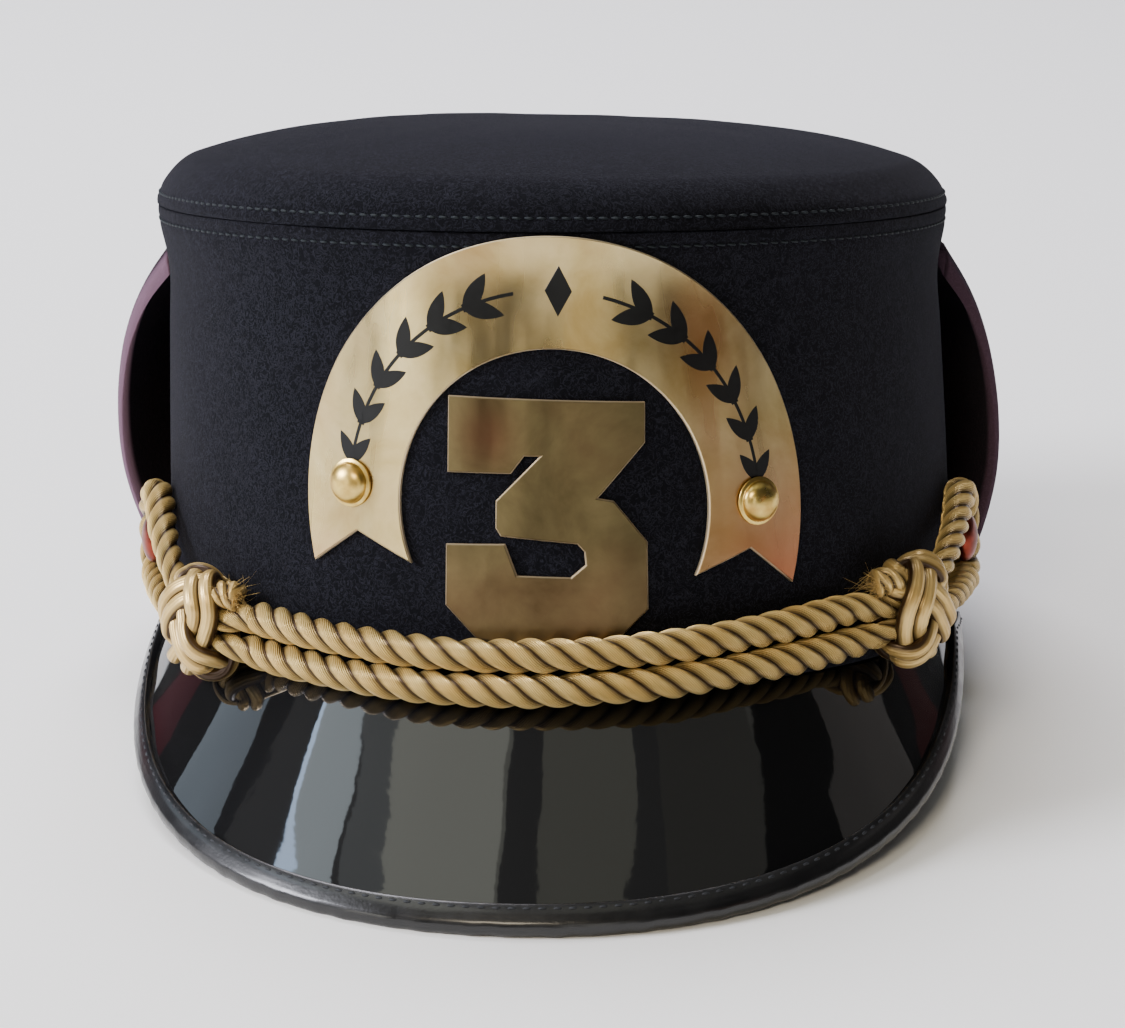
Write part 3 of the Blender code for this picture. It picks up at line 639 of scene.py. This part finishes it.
def rolledBrass(name, pale, deep, stain, blushed, rimHighlight, rough, stainShare):
    # rolled brass plate, brushed upright: a soft gold that breaks into tall pale and dull bands
    material, tree, shader, place = newMaterial(name, {"Metallic": 1.0})
    mapping = addNode(tree, "ShaderNodeMapping", {"Scale": (1.0, 1.0, 0.03), "Rotation": (0.12, 0.05, 0.0)},
                      {"Vector": place})
    upright = (mapping, "Vector")
    # brush lines about 0.4 mm apart, and bands of them about 6 mm wide
    brush = noise(tree, upright, 2400.0, 1.0, 0.4)
    band = noise(tree, upright, 150.0)
    tone = spread(tree, noise(tree, place, 60.0, 5.0, 0.6, 0.4), 0.35, 0.68)
    dull = spread(tree, noise(tree, place, 34.0, 4.0, 0.55), 0.5, 0.75, 0.0, stainShare)
    tint = mixed(tree, dull, mixed(tree, tone, pale, deep), stain)
    # redder where the plate's blush value says so; painted highlight: the bevelled rims are tinted pale so
    # that they show as a thin light line
    rim = meshValue(tree, "rim")
    tint = mixed(tree, rim, mixed(tree, meshValue(tree, "blush"), tint, blushed), rimHighlight)
    worn = spread(tree, band, 0.3, 0.7, rough - 0.08, rough + 0.1)
    feed(tree, shader, {"Base Color": tint, "Roughness": maths(tree, "MULTIPLY_ADD", rim, 0.25, worn),
                        "Normal": bumped(tree, brush, 0.06, 0.00005)})
    return material


def polishedBrass(name, bright, browned, rough):
    # turned and polished brass: bright rounded highlights, a little browned in patches
    material, tree, shader, place = newMaterial(name, {"Metallic": 1.0})
    patch = noise(tree, place, 350.0, 5.0)
    feed(tree, shader, {"Base Color": mixed(tree, spread(tree, patch, 0.4, 0.75), bright, browned),
                        "Roughness": spread(tree, patch, 0.3, 0.8, rough - 0.04, rough + 0.12)})
    return material


# the fifth colour of each is the painted highlight on the bevelled rims
arcBrass = rolledBrass("brushedBrassPale", "#d3bf8c", "#b39b62", "#8f6a44", "#a4553c", "#ead8b8", 0.3, 0.45)
numberBrass = rolledBrass("brushedBrassAged", "#776b4a", "#574c33", "#4c3024", "#5e2a24", "#b4a284", 0.4,
                          0.6)
studBrass = polishedBrass("turnedBrass", "#dabd6c", "#b48d48", 0.3)
# painted reflection: the side buttons' brass is coloured red-brown to stand in for the maroon surroundings
# it mirrors
buttonBrass = polishedBrass("brassButtonRedReflection", "#843a2c", "#4e2019", 0.34)


def offsetOutline(outline, inset):
    # each corner moves in along the two edge normals' bisector, so that both edges shift by the inset
    before, after = outline - np.roll(outline, 1, 0), np.roll(outline, -1, 0) - outline
    n1 = unit(np.stack([-before[:, 1], before[:, 0]], -1))
    n2 = unit(np.stack([-after[:, 1], after[:, 0]], -1))
    bisector = unit(n1 + n2)
    scale = inset / np.clip((bisector * n1).sum(-1), 0.4, 1)
    return outline + bisector * scale[:, None]


def platePiece(name, outlines, foot, plate, material, stands=(), blush=None, strip=2.0):
    # each outline (run, height in mm) becomes a bevelled plate, cut in small strips and bent to the wall
    thick, bevel = plate["thick"], plate["bevel"]
    work = bmesh.new()
    for outline in outlines:
        outline = np.asarray(outline, float)
        x, z = outline.T
        if (x * np.roll(z, -1) - np.roll(x, -1) * z).sum() < 0:
            outline = outline[::-1]
        inner = offsetOutline(outline, bevel)
        rings = [[work.verts.new((p[0], deep, p[1])) for p in ring]
                 for ring, deep in ((outline, 0.0), (outline, thick - bevel), (inner, thick))]
        count = len(outline)
        for low, high in zip(rings[:-1], rings[1:]):
            for i in range(count):
                k = (i + 1) % count
                work.faces.new((low[i], low[k], high[k], high[i]))
        work.faces.new(rings[0][::-1])
        work.faces.new(rings[-1])
    for axis, size in ((0, strip), (2, strip * 1.5)):
        reach = [v.co[axis] for v in work.verts]
        # the small shift keeps the cuts off the outlines' own corners
        for cut in np.arange(np.ceil(min(reach) / size) * size, max(reach), size) + 0.0137:
            normal = [float(k == axis) for k in range(3)]
            bmesh.ops.bisect_plane(work, geom=work.verts[:] + work.edges[:] + work.faces[:], dist=0.002,
                                   plane_co=[cut * n for n in normal], plane_no=normal)
    bmesh.ops.dissolve_degenerate(work, dist=0.03, edges=work.edges[:])
    bmesh.ops.triangulate(work, faces=work.faces[:])
    bmesh.ops.recalc_face_normals(work, faces=work.faces[:])
    work.verts.index_update()
    points = np.array([v.co for v in work.verts])
    faces = [[v.index for v in f.verts] for f in work.faces]
    work.free()
    run, out, height = points.T
    bent = onWall(angleOfRun(run), height, foot + out)
    # rim marks the bevel, which the material tints pale as a painted highlight
    values = {"blush": blush(run, height), "rim": np.clip((thick - out) / bevel, 0, 1)} if blush else {}
    putPiece(name, bent, faces, material, "brass", stands, sharp=28, values=values)


badge = {"centre": (3.6, 35.2), "outer": 51.2, "inner": 30.0, "turn": -2.4, "tipDrop": 14.5,
         "innerTipDrop": 12.4, "notchDrop": 7.4, "thick": 1.0, "bevel": 0.26, "studRing": 40.5,
         "studAngle": 87.6}
numeral = {"centre": (1.9, 33.0), "turn": -1.7, "wide": 38.4, "tall": 46.2, "thick": 1.0, "bevel": 0.28}
# block numeral: x as a share of its width, height as a share of its height
numeralShape = [
    (-0.488, 0.491), (0.488, 0.491), (0.488, 0.325), (0.253, 0.095), (0.333, 0.084), (0.500, -0.082),
    (0.505, -0.361), (0.328, -0.509), (-0.328, -0.509), (-0.492, -0.372), (-0.492, -0.119), (-0.198, -0.106),
    (-0.138, -0.234), (0.122, -0.234), (0.195, -0.180), (0.188, -0.126), (0.154, -0.095), (-0.219, -0.074),
    (-0.245, -0.041), (-0.245, 0.071), (-0.031, 0.260), (-0.107, 0.258), (-0.172, 0.184), (-0.488, 0.177)]


def rayed(angle):
    return np.stack([np.cos(angle), np.sin(angle)], -1)


def turned2d(points, plate):
    c, s = rayed(np.radians(plate["turn"]))
    x, z = np.asarray(points, float).T
    return np.stack([plate["centre"][0] + x * c - z * s, plate["centre"][1] + x * s + z * c], -1)


def arcOutline():
    # outer arc, swallow-tail notch, inner arc back, notch
    first = np.arcsin(badge["tipDrop"] / badge["outer"])
    innerFirst = np.arcsin(badge["innerTipDrop"] / badge["inner"])
    outer = np.linspace(np.pi + first, -first, 121)
    inner = np.linspace(-innerFirst, np.pi + innerFirst, 91)
    middle = (badge["outer"] + badge["inner"]) / 2 - 0.8
    reach = np.sqrt(middle ** 2 - badge["notchDrop"] ** 2)
    return np.concatenate([badge["outer"] * rayed(outer), [(reach, -badge["notchDrop"])],
                           badge["inner"] * rayed(inner), [(-reach, -badge["notchDrop"])]])


def arcBlush(run, height):
    # the arc is redder and darker towards its right end, and less so at its left foot
    right = np.clip((run - 22) / 26, 0, 1) * np.clip((52 - height) / 30, 0, 1)
    left = np.clip((-run - 26) / 18, 0, 1) * np.clip((30 - height) / 12, 0, 1)
    return 0.8 * right + 0.5 * left


def numeralBlush(run, height):
    # a red spot at the upper left, and darker and browner towards the foot
    spot = 0.55 * np.exp(-((run + 9) / 5) ** 2 - ((height - 49) / 6) ** 2)
    return spot + 0.22 * np.clip((31 - height) / 14, 0, 1)


numeralOutline = np.array(numeralShape) * (numeral["wide"], numeral["tall"])
platePiece("arcBadgeBrass", [turned2d(arcOutline(), badge)], crown["gap"], badge, arcBrass, ["arc_badge"],
           arcBlush)
platePiece("numeralBadgeBrass", [turned2d(numeralOutline, numeral)], crown["gap"], numeral, numberBrass,
           ["number_badge"], numeralBlush)

# Ornament on the arc: sprays of enamelled leaves that meet under a lozenge (mm, degrees round the arc)
leafRow = {"ring": 40.9, "firstAngle": 21.0, "stepAngle": 11.2, "pairs": 6, "long": 8.6, "wide": 3.3,
           "lean": 36.0, "stem": 0.7, "thick": 0.16, "sunk": 0.1, "bevel": 0.05, "smaller": 0.035,
           "lozenge": (5.2, 9.6)}


def enamelOutlines():
    # a leaf is two arcs: half width x sin(pi t^0.85)^0.85, a little fuller near the stem
    t = np.linspace(0, 1, 15)
    half = leafRow["wide"] / 2 * np.sin(np.pi * t ** 0.85) ** 0.85
    upper, lower = (np.stack([t * leafRow["long"], way * half], -1) for way in (1, -1))
    leaf = np.concatenate([upper, lower[-2:0:-1]])
    ring, stem = leafRow["ring"], leafRow["stem"] / 2
    outlines = []
    for way in (-1, 1):
        for k in range(leafRow["pairs"]):
            at = np.radians(90 + way * (leafRow["firstAngle"] + 5.5 + k * leafRow["stepAngle"]))
            # towards the top of the arc, leaning off the stem to either side
            ahead = np.degrees(at) - way * 90
            for side in (-1, 1):
                c, s = rayed(np.radians(ahead + side * leafRow["lean"]))
                spot = rayed(at) * ring + side * way * -0.75 * rayed(at)
                outlines.append(leaf * (1.0 - leafRow["smaller"] * k) @ np.array([[c, s], [-s, c]]) + spot)
        low = 90 + way * (leafRow["firstAngle"] - 9)
        high = 90 + way * (leafRow["firstAngle"] + 6 * leafRow["stepAngle"])
        arc = rayed(np.radians(np.linspace(low, high, 40)))
        outlines.append(np.concatenate([arc * (ring + stem), (arc * (ring - stem))[::-1]]))
    w, h = leafRow["lozenge"]
    outlines.append(np.array([(w / 2, 0), (0, h / 2), (-w / 2, 0), (0, -h / 2)]) + (0, ring))
    return [turned2d(outline, badge) for outline in outlines]


def blackEnamel():
    # stove enamel rubbed into the plate: black, smooth, with a dim wide gloss
    material, tree, shader, place = newMaterial("stoveEnamelBlack", {
        "Base Color": hexColour("#0a0b0b"), "Specular IOR Level": 0.25})
    feed(tree, shader, {"Roughness": spread(tree, noise(tree, place, 1100.0, 4.0), 0.0, 1.0, 0.26, 0.5)})
    return material


platePiece("arcBadgeEnamel", enamelOutlines(), crown["gap"] + badge["thick"] - leafRow["sunk"], leafRow,
           blackEnamel())


def turnedPiece(name, profile, angle, height, out, material, stands, steps=64):
    # a profile of (radius, height) turned about the wall's normal
    axis = unit(wallNormal(angle))
    across = unit(np.cross(axis, (0.0, 0.0, 1.0)))
    swing = turnSteps(steps)[:, None]
    spoke = across * np.cos(swing) + np.cross(axis, across) * np.sin(swing)
    points = onWall(angle, height, out) + axis * profile[:, None, 1:] + spoke * profile[:, None, :1]
    gridPiece(name, points, material, "bright_brass", stands, sharp=42)


def domeRows(radius, foot, tall):
    # dome: radius x cos, foot + tall x sin
    swing = np.radians(np.linspace(0, 88, 14))
    return np.stack([radius * np.cos(swing), foot + tall * np.sin(swing)], -1)


# A thin flange and a small step under the dome
studProfile = np.concatenate([[(4.3, 0.0), (4.6, 0.1), (4.68, 0.3), (4.6, 0.5), (4.35, 0.62), (4.05, 0.66),
                               (3.98, 0.72)], domeRows(3.95, 0.85, 2.35)])

for side, way in (("left", -1), ("right", 1)):
    ring = np.radians(90 - way * badge["studAngle"] + badge["turn"])
    run, height = np.array(badge["centre"]) + badge["studRing"] * rayed(ring)
    turnedPiece("badgeStud" + side.title(), studProfile, angleOfRun(run), height,
                crown["gap"] + badge["thick"] + 0.05, studBrass, ["badge_stud_" + side])
print("badge, numeral, enamel and studs")


# Cord, knots and side buttons (mm)
cord = {"radius": 3.15, "squeezed": 2.2, "lay": 16.6, "steps": 1150, "corners": 42, "knotStrand": 1.8,
        "buttonRadius": 5.2, "buttonTall": 6.4, "buttonDome": 2.4}
cordRest = cord["radius"] + crown["gap"]
knotStand = 2 * crown["gap"] + 2 * cord["knotStrand"] + cord["squeezed"] + 0.25
# angle from the front, middle height, half spread, share of a plate's thickness that it stands out
cordFront = [(-39.5, 6.4, 3.4, 0.0), (-30.0, 5.5, 3.4, 0.0), (-14.0, 4.5, 3.35, 1.4), (-5.0, 4.4, 3.35, 1.4),
             (5.0, 4.8, 3.35, 1.4), (16.0, 5.8, 3.35, 1.4), (30.0, 7.3, 3.35, 0.0), (42.0, 8.7, 3.4, 0.0)]
sides = [{"name": "Left", "knot": (-48.8, 7.2), "button": (-72.5, 17.8), "hand": 1, "phase": 0.0,
          "seed": 11, "stands": ["cord_knot_left"], "buttonStands": ["side_button_left"]},
         {"name": "Right", "knot": (52.6, 10.2), "button": (78.2, 18.0), "hand": -1, "phase": 0.5,
          "seed": 23, "stands": ["cord_knot_right"], "buttonStands": ["side_button_right"]}]


def goldCord(name, pale, deep, grooveShade, threads, rough, between, ribs):
    # rayon and gimp cord: fine lengthwise threads with a silky gloss, with painted brown shade where the
    # plies meet
    material, tree, shader, place = newMaterial(name, {
        "Metallic": 0.5, "Roughness": rough, "Specular IOR Level": 0.6, "Sheen Weight": 0.05,
        "Sheen Roughness": 0.35, "Sheen Tint": hexColour("#f4e6c4")})
    # v counts turns round the strand, so the sine of v x threads draws that many threads round it
    uv = addNode(tree, "ShaderNodeUVMap", {"uv_map": "UVMap"})
    split = addNode(tree, "ShaderNodeSeparateXYZ", None, {"Vector": (uv, "UV")})
    phase = maths(tree, "MULTIPLY_ADD", (split, "Y"), threads * turn, noise(tree, place, 420.0))
    wave = maths(tree, "SINE", phase)
    base = mixed(tree, noise(tree, place, 150.0, 4.0), pale, deep)
    # painted shade: towards the groove shade colour where the mesh value marks the hollows between plies or
    # strands
    shade = spread(tree, meshValue(tree, "paintedShade"), 0.15, 0.9)
    # painted shade between the threads: the colour falls to this share in each thread's trough
    lines = spread(tree, wave, -1.0, 1.0, between, 1.0)
    tint = mixed(tree, 1.0, mixed(tree, shade, base, grooveShade), lines, "MULTIPLY")
    feed(tree, shader, {"Base Color": tint, "Normal": bumped(tree, wave, ribs, 0.00012)})
    return material


# the third colour of each is the painted shade in the grooves
ropeGold = goldCord("goldCordTwisted", "#ffe294", "#deb058", "#42290a", 36, 0.32, 0.66, 0.9)
knotGold = goldCord("goldCordSatin", "#f4d48c", "#b48e46", "#38240c", 14, 0.36, 0.88, 0.3)


def cordRows():
    # run, height, distance out, radius: upper strand, right loop, lower strand back, left loop
    def strand(sign):
        return [(runOfAngle(np.radians(angle)), middle + sign * apart, cordRest + stand * badge["thick"],
                 cord["radius"]) for angle, middle, apart, stand in cordFront]

    def throughKnot(side, sign):
        run = runOfAngle(np.radians(side["knot"][0]))
        apart = cord["squeezed"] + crown["gap"] / 2 + 0.05
        return [(run + step * np.copysign(1, run), side["knot"][1] + sign * apart + rise, knotStand,
                 cord["squeezed"]) for step, rise in ((-7.0, -0.8), (0.0, 0.0), (7.0, 0.8))]

    def loop(side):
        ring = cord["buttonRadius"] + crown["gap"] + cord["radius"] + 0.6
        run = runOfAngle(np.radians(side["button"][0]))
        return [(run + np.copysign(ring, run) * c, side["button"][1] + ring * s, cordRest, cord["radius"])
                for c, s in rayed(np.radians((122, 84, 46, 8, -30, -68, -106)))]

    left, right = sides
    rows = strand(1) + throughKnot(right, 1) + loop(right)
    rows += throughKnot(right, -1)[::-1] + strand(-1)[::-1] + throughKnot(left, -1)
    return rows + loop(left)[::-1] + throughKnot(left, 1)[::-1]


def plySection(count, radii, twist, lobe=1.3):
    # three round plies seen end on: r = c cos(a) + sqrt(p^2 - c^2 sin(a)^2) inside each third of a turn
    swing = turnSteps(count)
    third = np.mod(swing + np.pi / 3, turn / 3) - np.pi / 3
    centre, ply = lobe / cord["radius"], 1 - lobe / cord["radius"]
    reach = centre * np.cos(third) + np.sqrt(np.maximum(ply ** 2 - (centre * np.sin(third)) ** 2, 0))
    # painted shade: 0 on the plies' crowns, rising to 1 deepest in the grooves between them, for the
    # material to darken
    paintedShade = (1 - reach) / (1 - reach.min())
    angle = swing[None, :] + twist[:, None]
    size = reach[None, :] * radii[:, None]
    return np.stack([np.sin(angle) * size, np.cos(angle) * size], -1), paintedShade


def ringRun(path):
    # distance along a closed path at each point and, last, the whole way round
    return np.concatenate([[0], np.cumsum(np.linalg.norm(np.roll(path, -1, 0) - path, axis=1))])


def cordPiece():
    route = catmull(cordRows(), cord["steps"], True)
    angle = angleOfRun(route[:, 0])
    path = onWall(angle, route[:, 1], np.maximum(route[:, 2], cordRest) + 0.05)
    run = ringRun(path)
    length = run[-1]
    # whole thirds of a turn, so that the plies meet where the ring closes
    turns = round(length / cord["lay"] * 3) / 3
    twist = -turn * turns * run[:-1] / length
    uneven = 1 + 0.02 * np.sin(run[:-1] * 0.23) + 0.015 * np.sin(run[:-1] * 0.61 + 1)
    # the plies' middles lie inside the cord's radius, so the section is 4.5% larger
    section, paintedShade = plySection(cord["corners"], route[:, 3] * uneven * 1.045, twist)
    points = carried(path, wallNormal(angle), section, True)
    rows, columns = points.shape[:2]
    # the painted shade between the plies goes along as a mesh value
    gridPiece("capCordTwisted", points, ropeGold, "gold_cord", ["cap_cord"], ring=True,
              uv=gridUv(run * mm, np.linspace(0, 1, columns + 1)), values={"paintedShade": np.tile(paintedShade, rows)})
    print("cord: {:.0f} mm round, {:.1f} turns".format(length, turns))


knot = {"leads": 3, "bights": 4, "strandWide": 3.7, "strandThick": 3.3, "apart": 1.8, "steps": 620,
        "corners": 18, "over": 0.95, "halfLong": 6.3, "tall": 8.9, "deep": 4.75, "lean": 5.0}
# the cut end: points along the knot, up and out from its middle, radius, and the fray's hairs
stub = {"rows": [(5.0, 6.4, 0.6), (7.0, 7.2, 0.4), (9.0, 7.7, -0.6), (11.2, 7.6, -1.6)], "steps": 44,
        "corners": 36, "radius": 2.6, "lobe": 1.25, "turns": 0.9, "hairs": 170, "hairWide": 0.13}


def knotFrame(side):
    angle, height = np.radians(side["knot"][0]), side["knot"][1]
    origin = onWall(angle, height, knotStand)
    outward = wallNormal(angle)
    inward = np.cross(outward, (0.0, 0.0, 1.0)) * -side["hand"]
    c, s = rayed(np.radians(knot["lean"]))
    return origin, inward * c - np.array([0, 0, s]), np.array([0, 0, c]) + inward * s, outward


def squared(wave):
    # flattens a sine a little, so that the strands lie fuller round the corners
    return np.sign(wave) * np.abs(wave) ** 0.85


def knotPiece(side):
    # Turk's head: leads x s round the cord and bights x s along it, over and under by turns
    origin, along, up, outward = knotFrame(side)
    s = turnSteps(knot["steps"])
    swing, sway = knot["leads"] * s + side["phase"], knot["bights"] * s
    axial = np.sin(sway)
    barrel = 1 - 0.22 * np.abs(axial) ** 2.4
    lift, push = squared(np.cos(swing)), squared(np.sin(swing))
    normal = unit(up * (lift / knot["tall"])[:, None] + outward * (push / knot["deep"])[:, None]
                  + along * (axial ** 3 * 0.1)[:, None])
    level = knot["over"] * np.sin(2 * sway)
    path = origin + up * (lift * knot["tall"] * barrel)[:, None]
    path = path + outward * (push * knot["deep"] * barrel)[:, None]
    path = path + along * (axial * knot["halfLong"])[:, None] + normal * level[:, None]
    # the back is pressed against the felt
    stand = (path - origin) @ outward + knotStand
    path = path + outward * np.maximum(knot["strandThick"] / 2 + 0.1 - stand, 0)[:, None]
    # two strands lie side by side all the way round
    ring = turnSteps(knot["corners"])
    section = rayed(ring) * (knot["strandWide"] / 2, knot["strandThick"] / 2)
    both = [carried(path, normal, section[None] + (way * knot["apart"], 0.0), True) for way in (-1, 1)]
    rows, columns = both[0].shape[:2]
    # painted shade: darker where a strand turns down to its neighbours, on both flanks and most of all on
    # the underside
    flankShade = 1.05 * np.abs(np.cos(ring)) ** 3 + np.maximum(-np.sin(ring), 0)
    paintedShade = np.tile(np.clip(flankShade, 0, 1), rows * 2)
    faces = gridFaces(rows, columns, True) + gridFaces(rows, columns, True, start=rows * columns)
    uv = gridUv(ringRun(path) * mm, np.linspace(0, 1, columns + 1)) * 2
    putPiece("cordKnot" + side["name"], np.stack(both), faces, knotGold, "gold_cord", side["stands"], uv=uv,
             values={"paintedShade": paintedShade})


def knotStub(side):
    # the cut end of the knot's strand: a short twisted stub on the inner side, frayed into loose hairs
    origin, along, up, outward = knotFrame(side)
    steps, corners = stub["steps"], stub["corners"]
    path = catmull([origin + along * a + up * b + outward * c for a, b, c in stub["rows"]], steps, False)
    run = np.linspace(0, 1, steps)
    section, paintedShade = plySection(corners, stub["radius"] * (1 + 0.15 * run), -turn * run * stub["turns"],
                                 stub["lobe"])
    points = carried(path, np.tile(outward, (steps, 1)), section)
    # the painted shade between the plies goes along as a mesh value
    gridPiece("cordStub" + side["name"], points, knotGold, "gold_cord",
              uv=gridUv(run * 0.008, np.linspace(0, 1, corners + 1), corners),
              values={"paintedShade": np.tile(paintedShade, steps)})
    random = np.random.default_rng(side["seed"])
    count = stub["hairs"]
    tangent = unit(path[-1] - path[-4])
    around = random.normal(size=(count, 3))
    spoke = unit(around - (around @ tangent)[:, None] * tangent)
    starts = path[-1] + spoke * random.uniform(0.2, 2.7, (count, 1))
    ahead = unit(tangent * 0.9 + random.normal(size=(count, 3)) * 0.6 + outward * 0.25)
    bend = random.normal(size=(count, 3)) * 0.9
    length = random.uniform(0.8, 2.6, count)
    # each hair is a three-sided strand: start + length x (ahead x t + bend x t squared), thinner at its tip
    t = np.linspace(0, 1, 6)[:, None]
    bent = ahead[:, None] * t + bend[:, None] * t ** 2
    line = (starts - tangent * 0.8)[:, None] + length[:, None, None] * bent
    across = unit(np.cross(ahead, bend))
    strandPiece("cordFray" + side["name"], line, across, unit(np.cross(ahead, across)),
                stub["hairWide"] / 2 * (1 - 0.75 * t[:, 0]), 3, knotGold, "gold_cord")


def sideButton(side):
    # a straight foot and a dome with a small rim
    tall, dome, radius = cord["buttonTall"], cord["buttonDome"], cord["buttonRadius"]
    step = tall - dome
    profile = np.concatenate([[(radius * 0.8, 0.0), (radius * 0.8, step - 1.2), (radius - 0.1, step - 1.0),
                               (radius, step - 0.6)], domeRows(radius, step - 0.2, dome + 0.2)])
    angle, height = side["button"]
    turnedPiece("sideButton" + side["name"], profile, np.radians(angle), height, crown["gap"] + 0.1,
                buttonBrass, side["buttonStands"])


cordPiece()
for side in sides:
    knotPiece(side)
    knotStub(side)
    sideButton(side)
print("knots, stubs and side buttons")


# Floor, light and camera

def paintedFloor():
    # matt white studio paint: plain, with the faintest unevenness
    material, tree, shader, place = newMaterial("studioPaintMatt", {
        "Roughness": 0.7, "Specular IOR Level": 0.2})
    feed(tree, shader, {"Base Color": mixed(tree, noise(tree, place, 2.0), "#f8f8f7", "#fbfbfa")})
    return material


def studioFloor():
    mesh = bpy.data.meshes.new("studioFloor")
    mesh.from_pydata([(-5, -4, 0), (5, -4, 0), (5, 8, 0), (-5, 8, 0)], [], [(0, 1, 2, 3)])
    mesh.materials.append(paintedFloor())
    floor = bpy.data.objects.new("studioFloor", mesh)
    bpy.context.scene.collection.objects.link(floor)


# Softboxes: place, aim and size in metres
softboxColumns = ("name", "place", "aim", "size", "watts", "colour")
softboxes = [
    ("keyLeft", (-1.95, -0.5, 1.05), (0, 0, 0.06), (0.8, 0.8), 82, "#f4f5ff"),
    ("frontCard", (0.5, -1.85, 0.42), (0, 0, 0.08), (0.4, 0.8), 2.1, "#fffaf0"),
    ("frontLeftCard", (-1.35, -1.4, 0.34), (-0.05, 0, 0.06), (0.34, 0.6), 3.2, "#fdfaf0"),
    ("leftCard", (-1.9, -0.5, 0.26), (-0.05, 0, 0.06), (0.6, 0.5), 0.5, "#f6f4ea"),
    ("frontFill", (-0.3, -1.45, 1.2), (0, 0, 0.04), (0.6, 0.4), 14.0, "#fff0d4"),
    ("rightCard", (1.5, -1.1, 0.3), (0.05, 0, 0.05), (0.6, 0.6), 0.35, "#d88a60"),
    ("topBack", (-0.25, 0.95, 1.7), (0, 0.25, 0.0), (1.3, 0.7), 44, "#f8f6ff"),
    ("redCardLeft", (-1.8, 1.65, 0.4), (0, 0, 0.05), (0.4, 0.6), 0.3, "#c03050"),
    ("redCardRight", (1.8, 1.5, 0.4), (0, 0, 0.05), (0.4, 0.6), 0.12, "#c04040")]
# Ceiling panels that the lacquer mirrors: middle across and back and size in metres, roll in degrees
panelColumns = ("at", "size", "roll", "radiance", "colour")
panels = [
    ((-0.62, -0.24), (0.5, 0.8), 26, 2.5, "#f6f8ea"),
    ((-0.31, -0.36), (0.10, 0.6), 24, 1.2, "#f6f8ea"),
    ((0.2, -0.36), (0.44, 0.6), -2, 0.9, "#f8f8e6"),
    ((0.36, -0.36), (0.02, 0.6), -10, 1.1, "#f8f8e6"),
    ((0.9, -0.2), (0.44, 0.8), -26, 0.34, "#f8f6ea"),
    ((1.13, -0.02), (0.09, 0.8), -28, 0.5, "#f8f6ea"),
    ((2.55, 1.2), (0.75, 1.9), -34, 0.34, "#fff6f0"),
    ((-1.0, -0.1), (0.18, 0.8), 26, 1.0, "#eef4f4"),
    ((-1.33, 0.1), (0.28, 0.62), 14, 4.6, "#e2eef4"),
    ((-1.5, 0.16), (0.09, 0.4), 14, 12.0, "#c8e0ff"),
    ((-0.55, 0.0), (3.3, 1.3), 0, 0.24, "#f6f6f4"),
    ((-2.95, 1.55), (0.75, 2.0), 37, 1.9, "#cfe0f0")]
room = {"ceiling": 1.5, "colour": "#e9ecf0", "strength": 0.055}


def addLight(name, size, watts, colour, place, rotation):
    light = bpy.data.lights.new(name, "AREA")
    light.shape = "RECTANGLE"
    light.size, light.size_y = size
    light.energy = watts
    light.color = hexColour(colour)[:3]
    lamp = bpy.data.objects.new(name, light)
    lamp.location = place
    lamp.rotation_euler = rotation
    bpy.context.scene.collection.objects.link(lamp)


def studioLights():
    for row in softboxes:
        box = dict(zip(softboxColumns, row))
        rotation = (Vector(box["aim"]) - Vector(box["place"])).to_track_quat("-Z", "Y").to_euler()
        addLight(box["name"], box["size"], box["watts"], box["colour"], box["place"], rotation)
    for number, row in enumerate(panels):
        panel = dict(zip(panelColumns, row))
        # watts of a panel = radiance x pi x area
        watts = panel["radiance"] * np.pi * panel["size"][0] * panel["size"][1]
        addLight("ceilingPanel" + str(number + 1), panel["size"], watts, panel["colour"],
                 (*panel["at"], room["ceiling"]), (0, 0, np.radians(panel["roll"])))
    world = bpy.data.worlds.new("studioRoom")
    world.use_nodes = True
    background = world.node_tree.nodes["Background"]
    background.inputs["Color"].default_value = hexColour(room["colour"])
    background.inputs["Strength"].default_value = room["strength"]
    bpy.context.scene.world = world


# The photograph's viewpoint: metres, degrees, and a lens for a 36 mm wide sensor
viewpoint = {"place": (0.03365, -0.70626, 0.27187), "turned": (71.808, 0.272, 2.431), "lens": 111.666,
             "sensor": 36.0, "shift": -0.000388}


def photoCamera():
    data = bpy.data.cameras.new("photoCamera")
    data.lens = viewpoint["lens"]
    data.sensor_fit = "HORIZONTAL"
    data.sensor_width = viewpoint["sensor"]
    data.shift_x = viewpoint["shift"]
    camera = bpy.data.objects.new("photoCamera", data)
    camera.location = viewpoint["place"]
    camera.rotation_euler = np.radians(viewpoint["turned"])
    bpy.context.scene.collection.objects.link(camera)
    bpy.context.scene.camera = camera


studioFloor()
studioLights()
photoCamera()
print("floor, lights and camera")
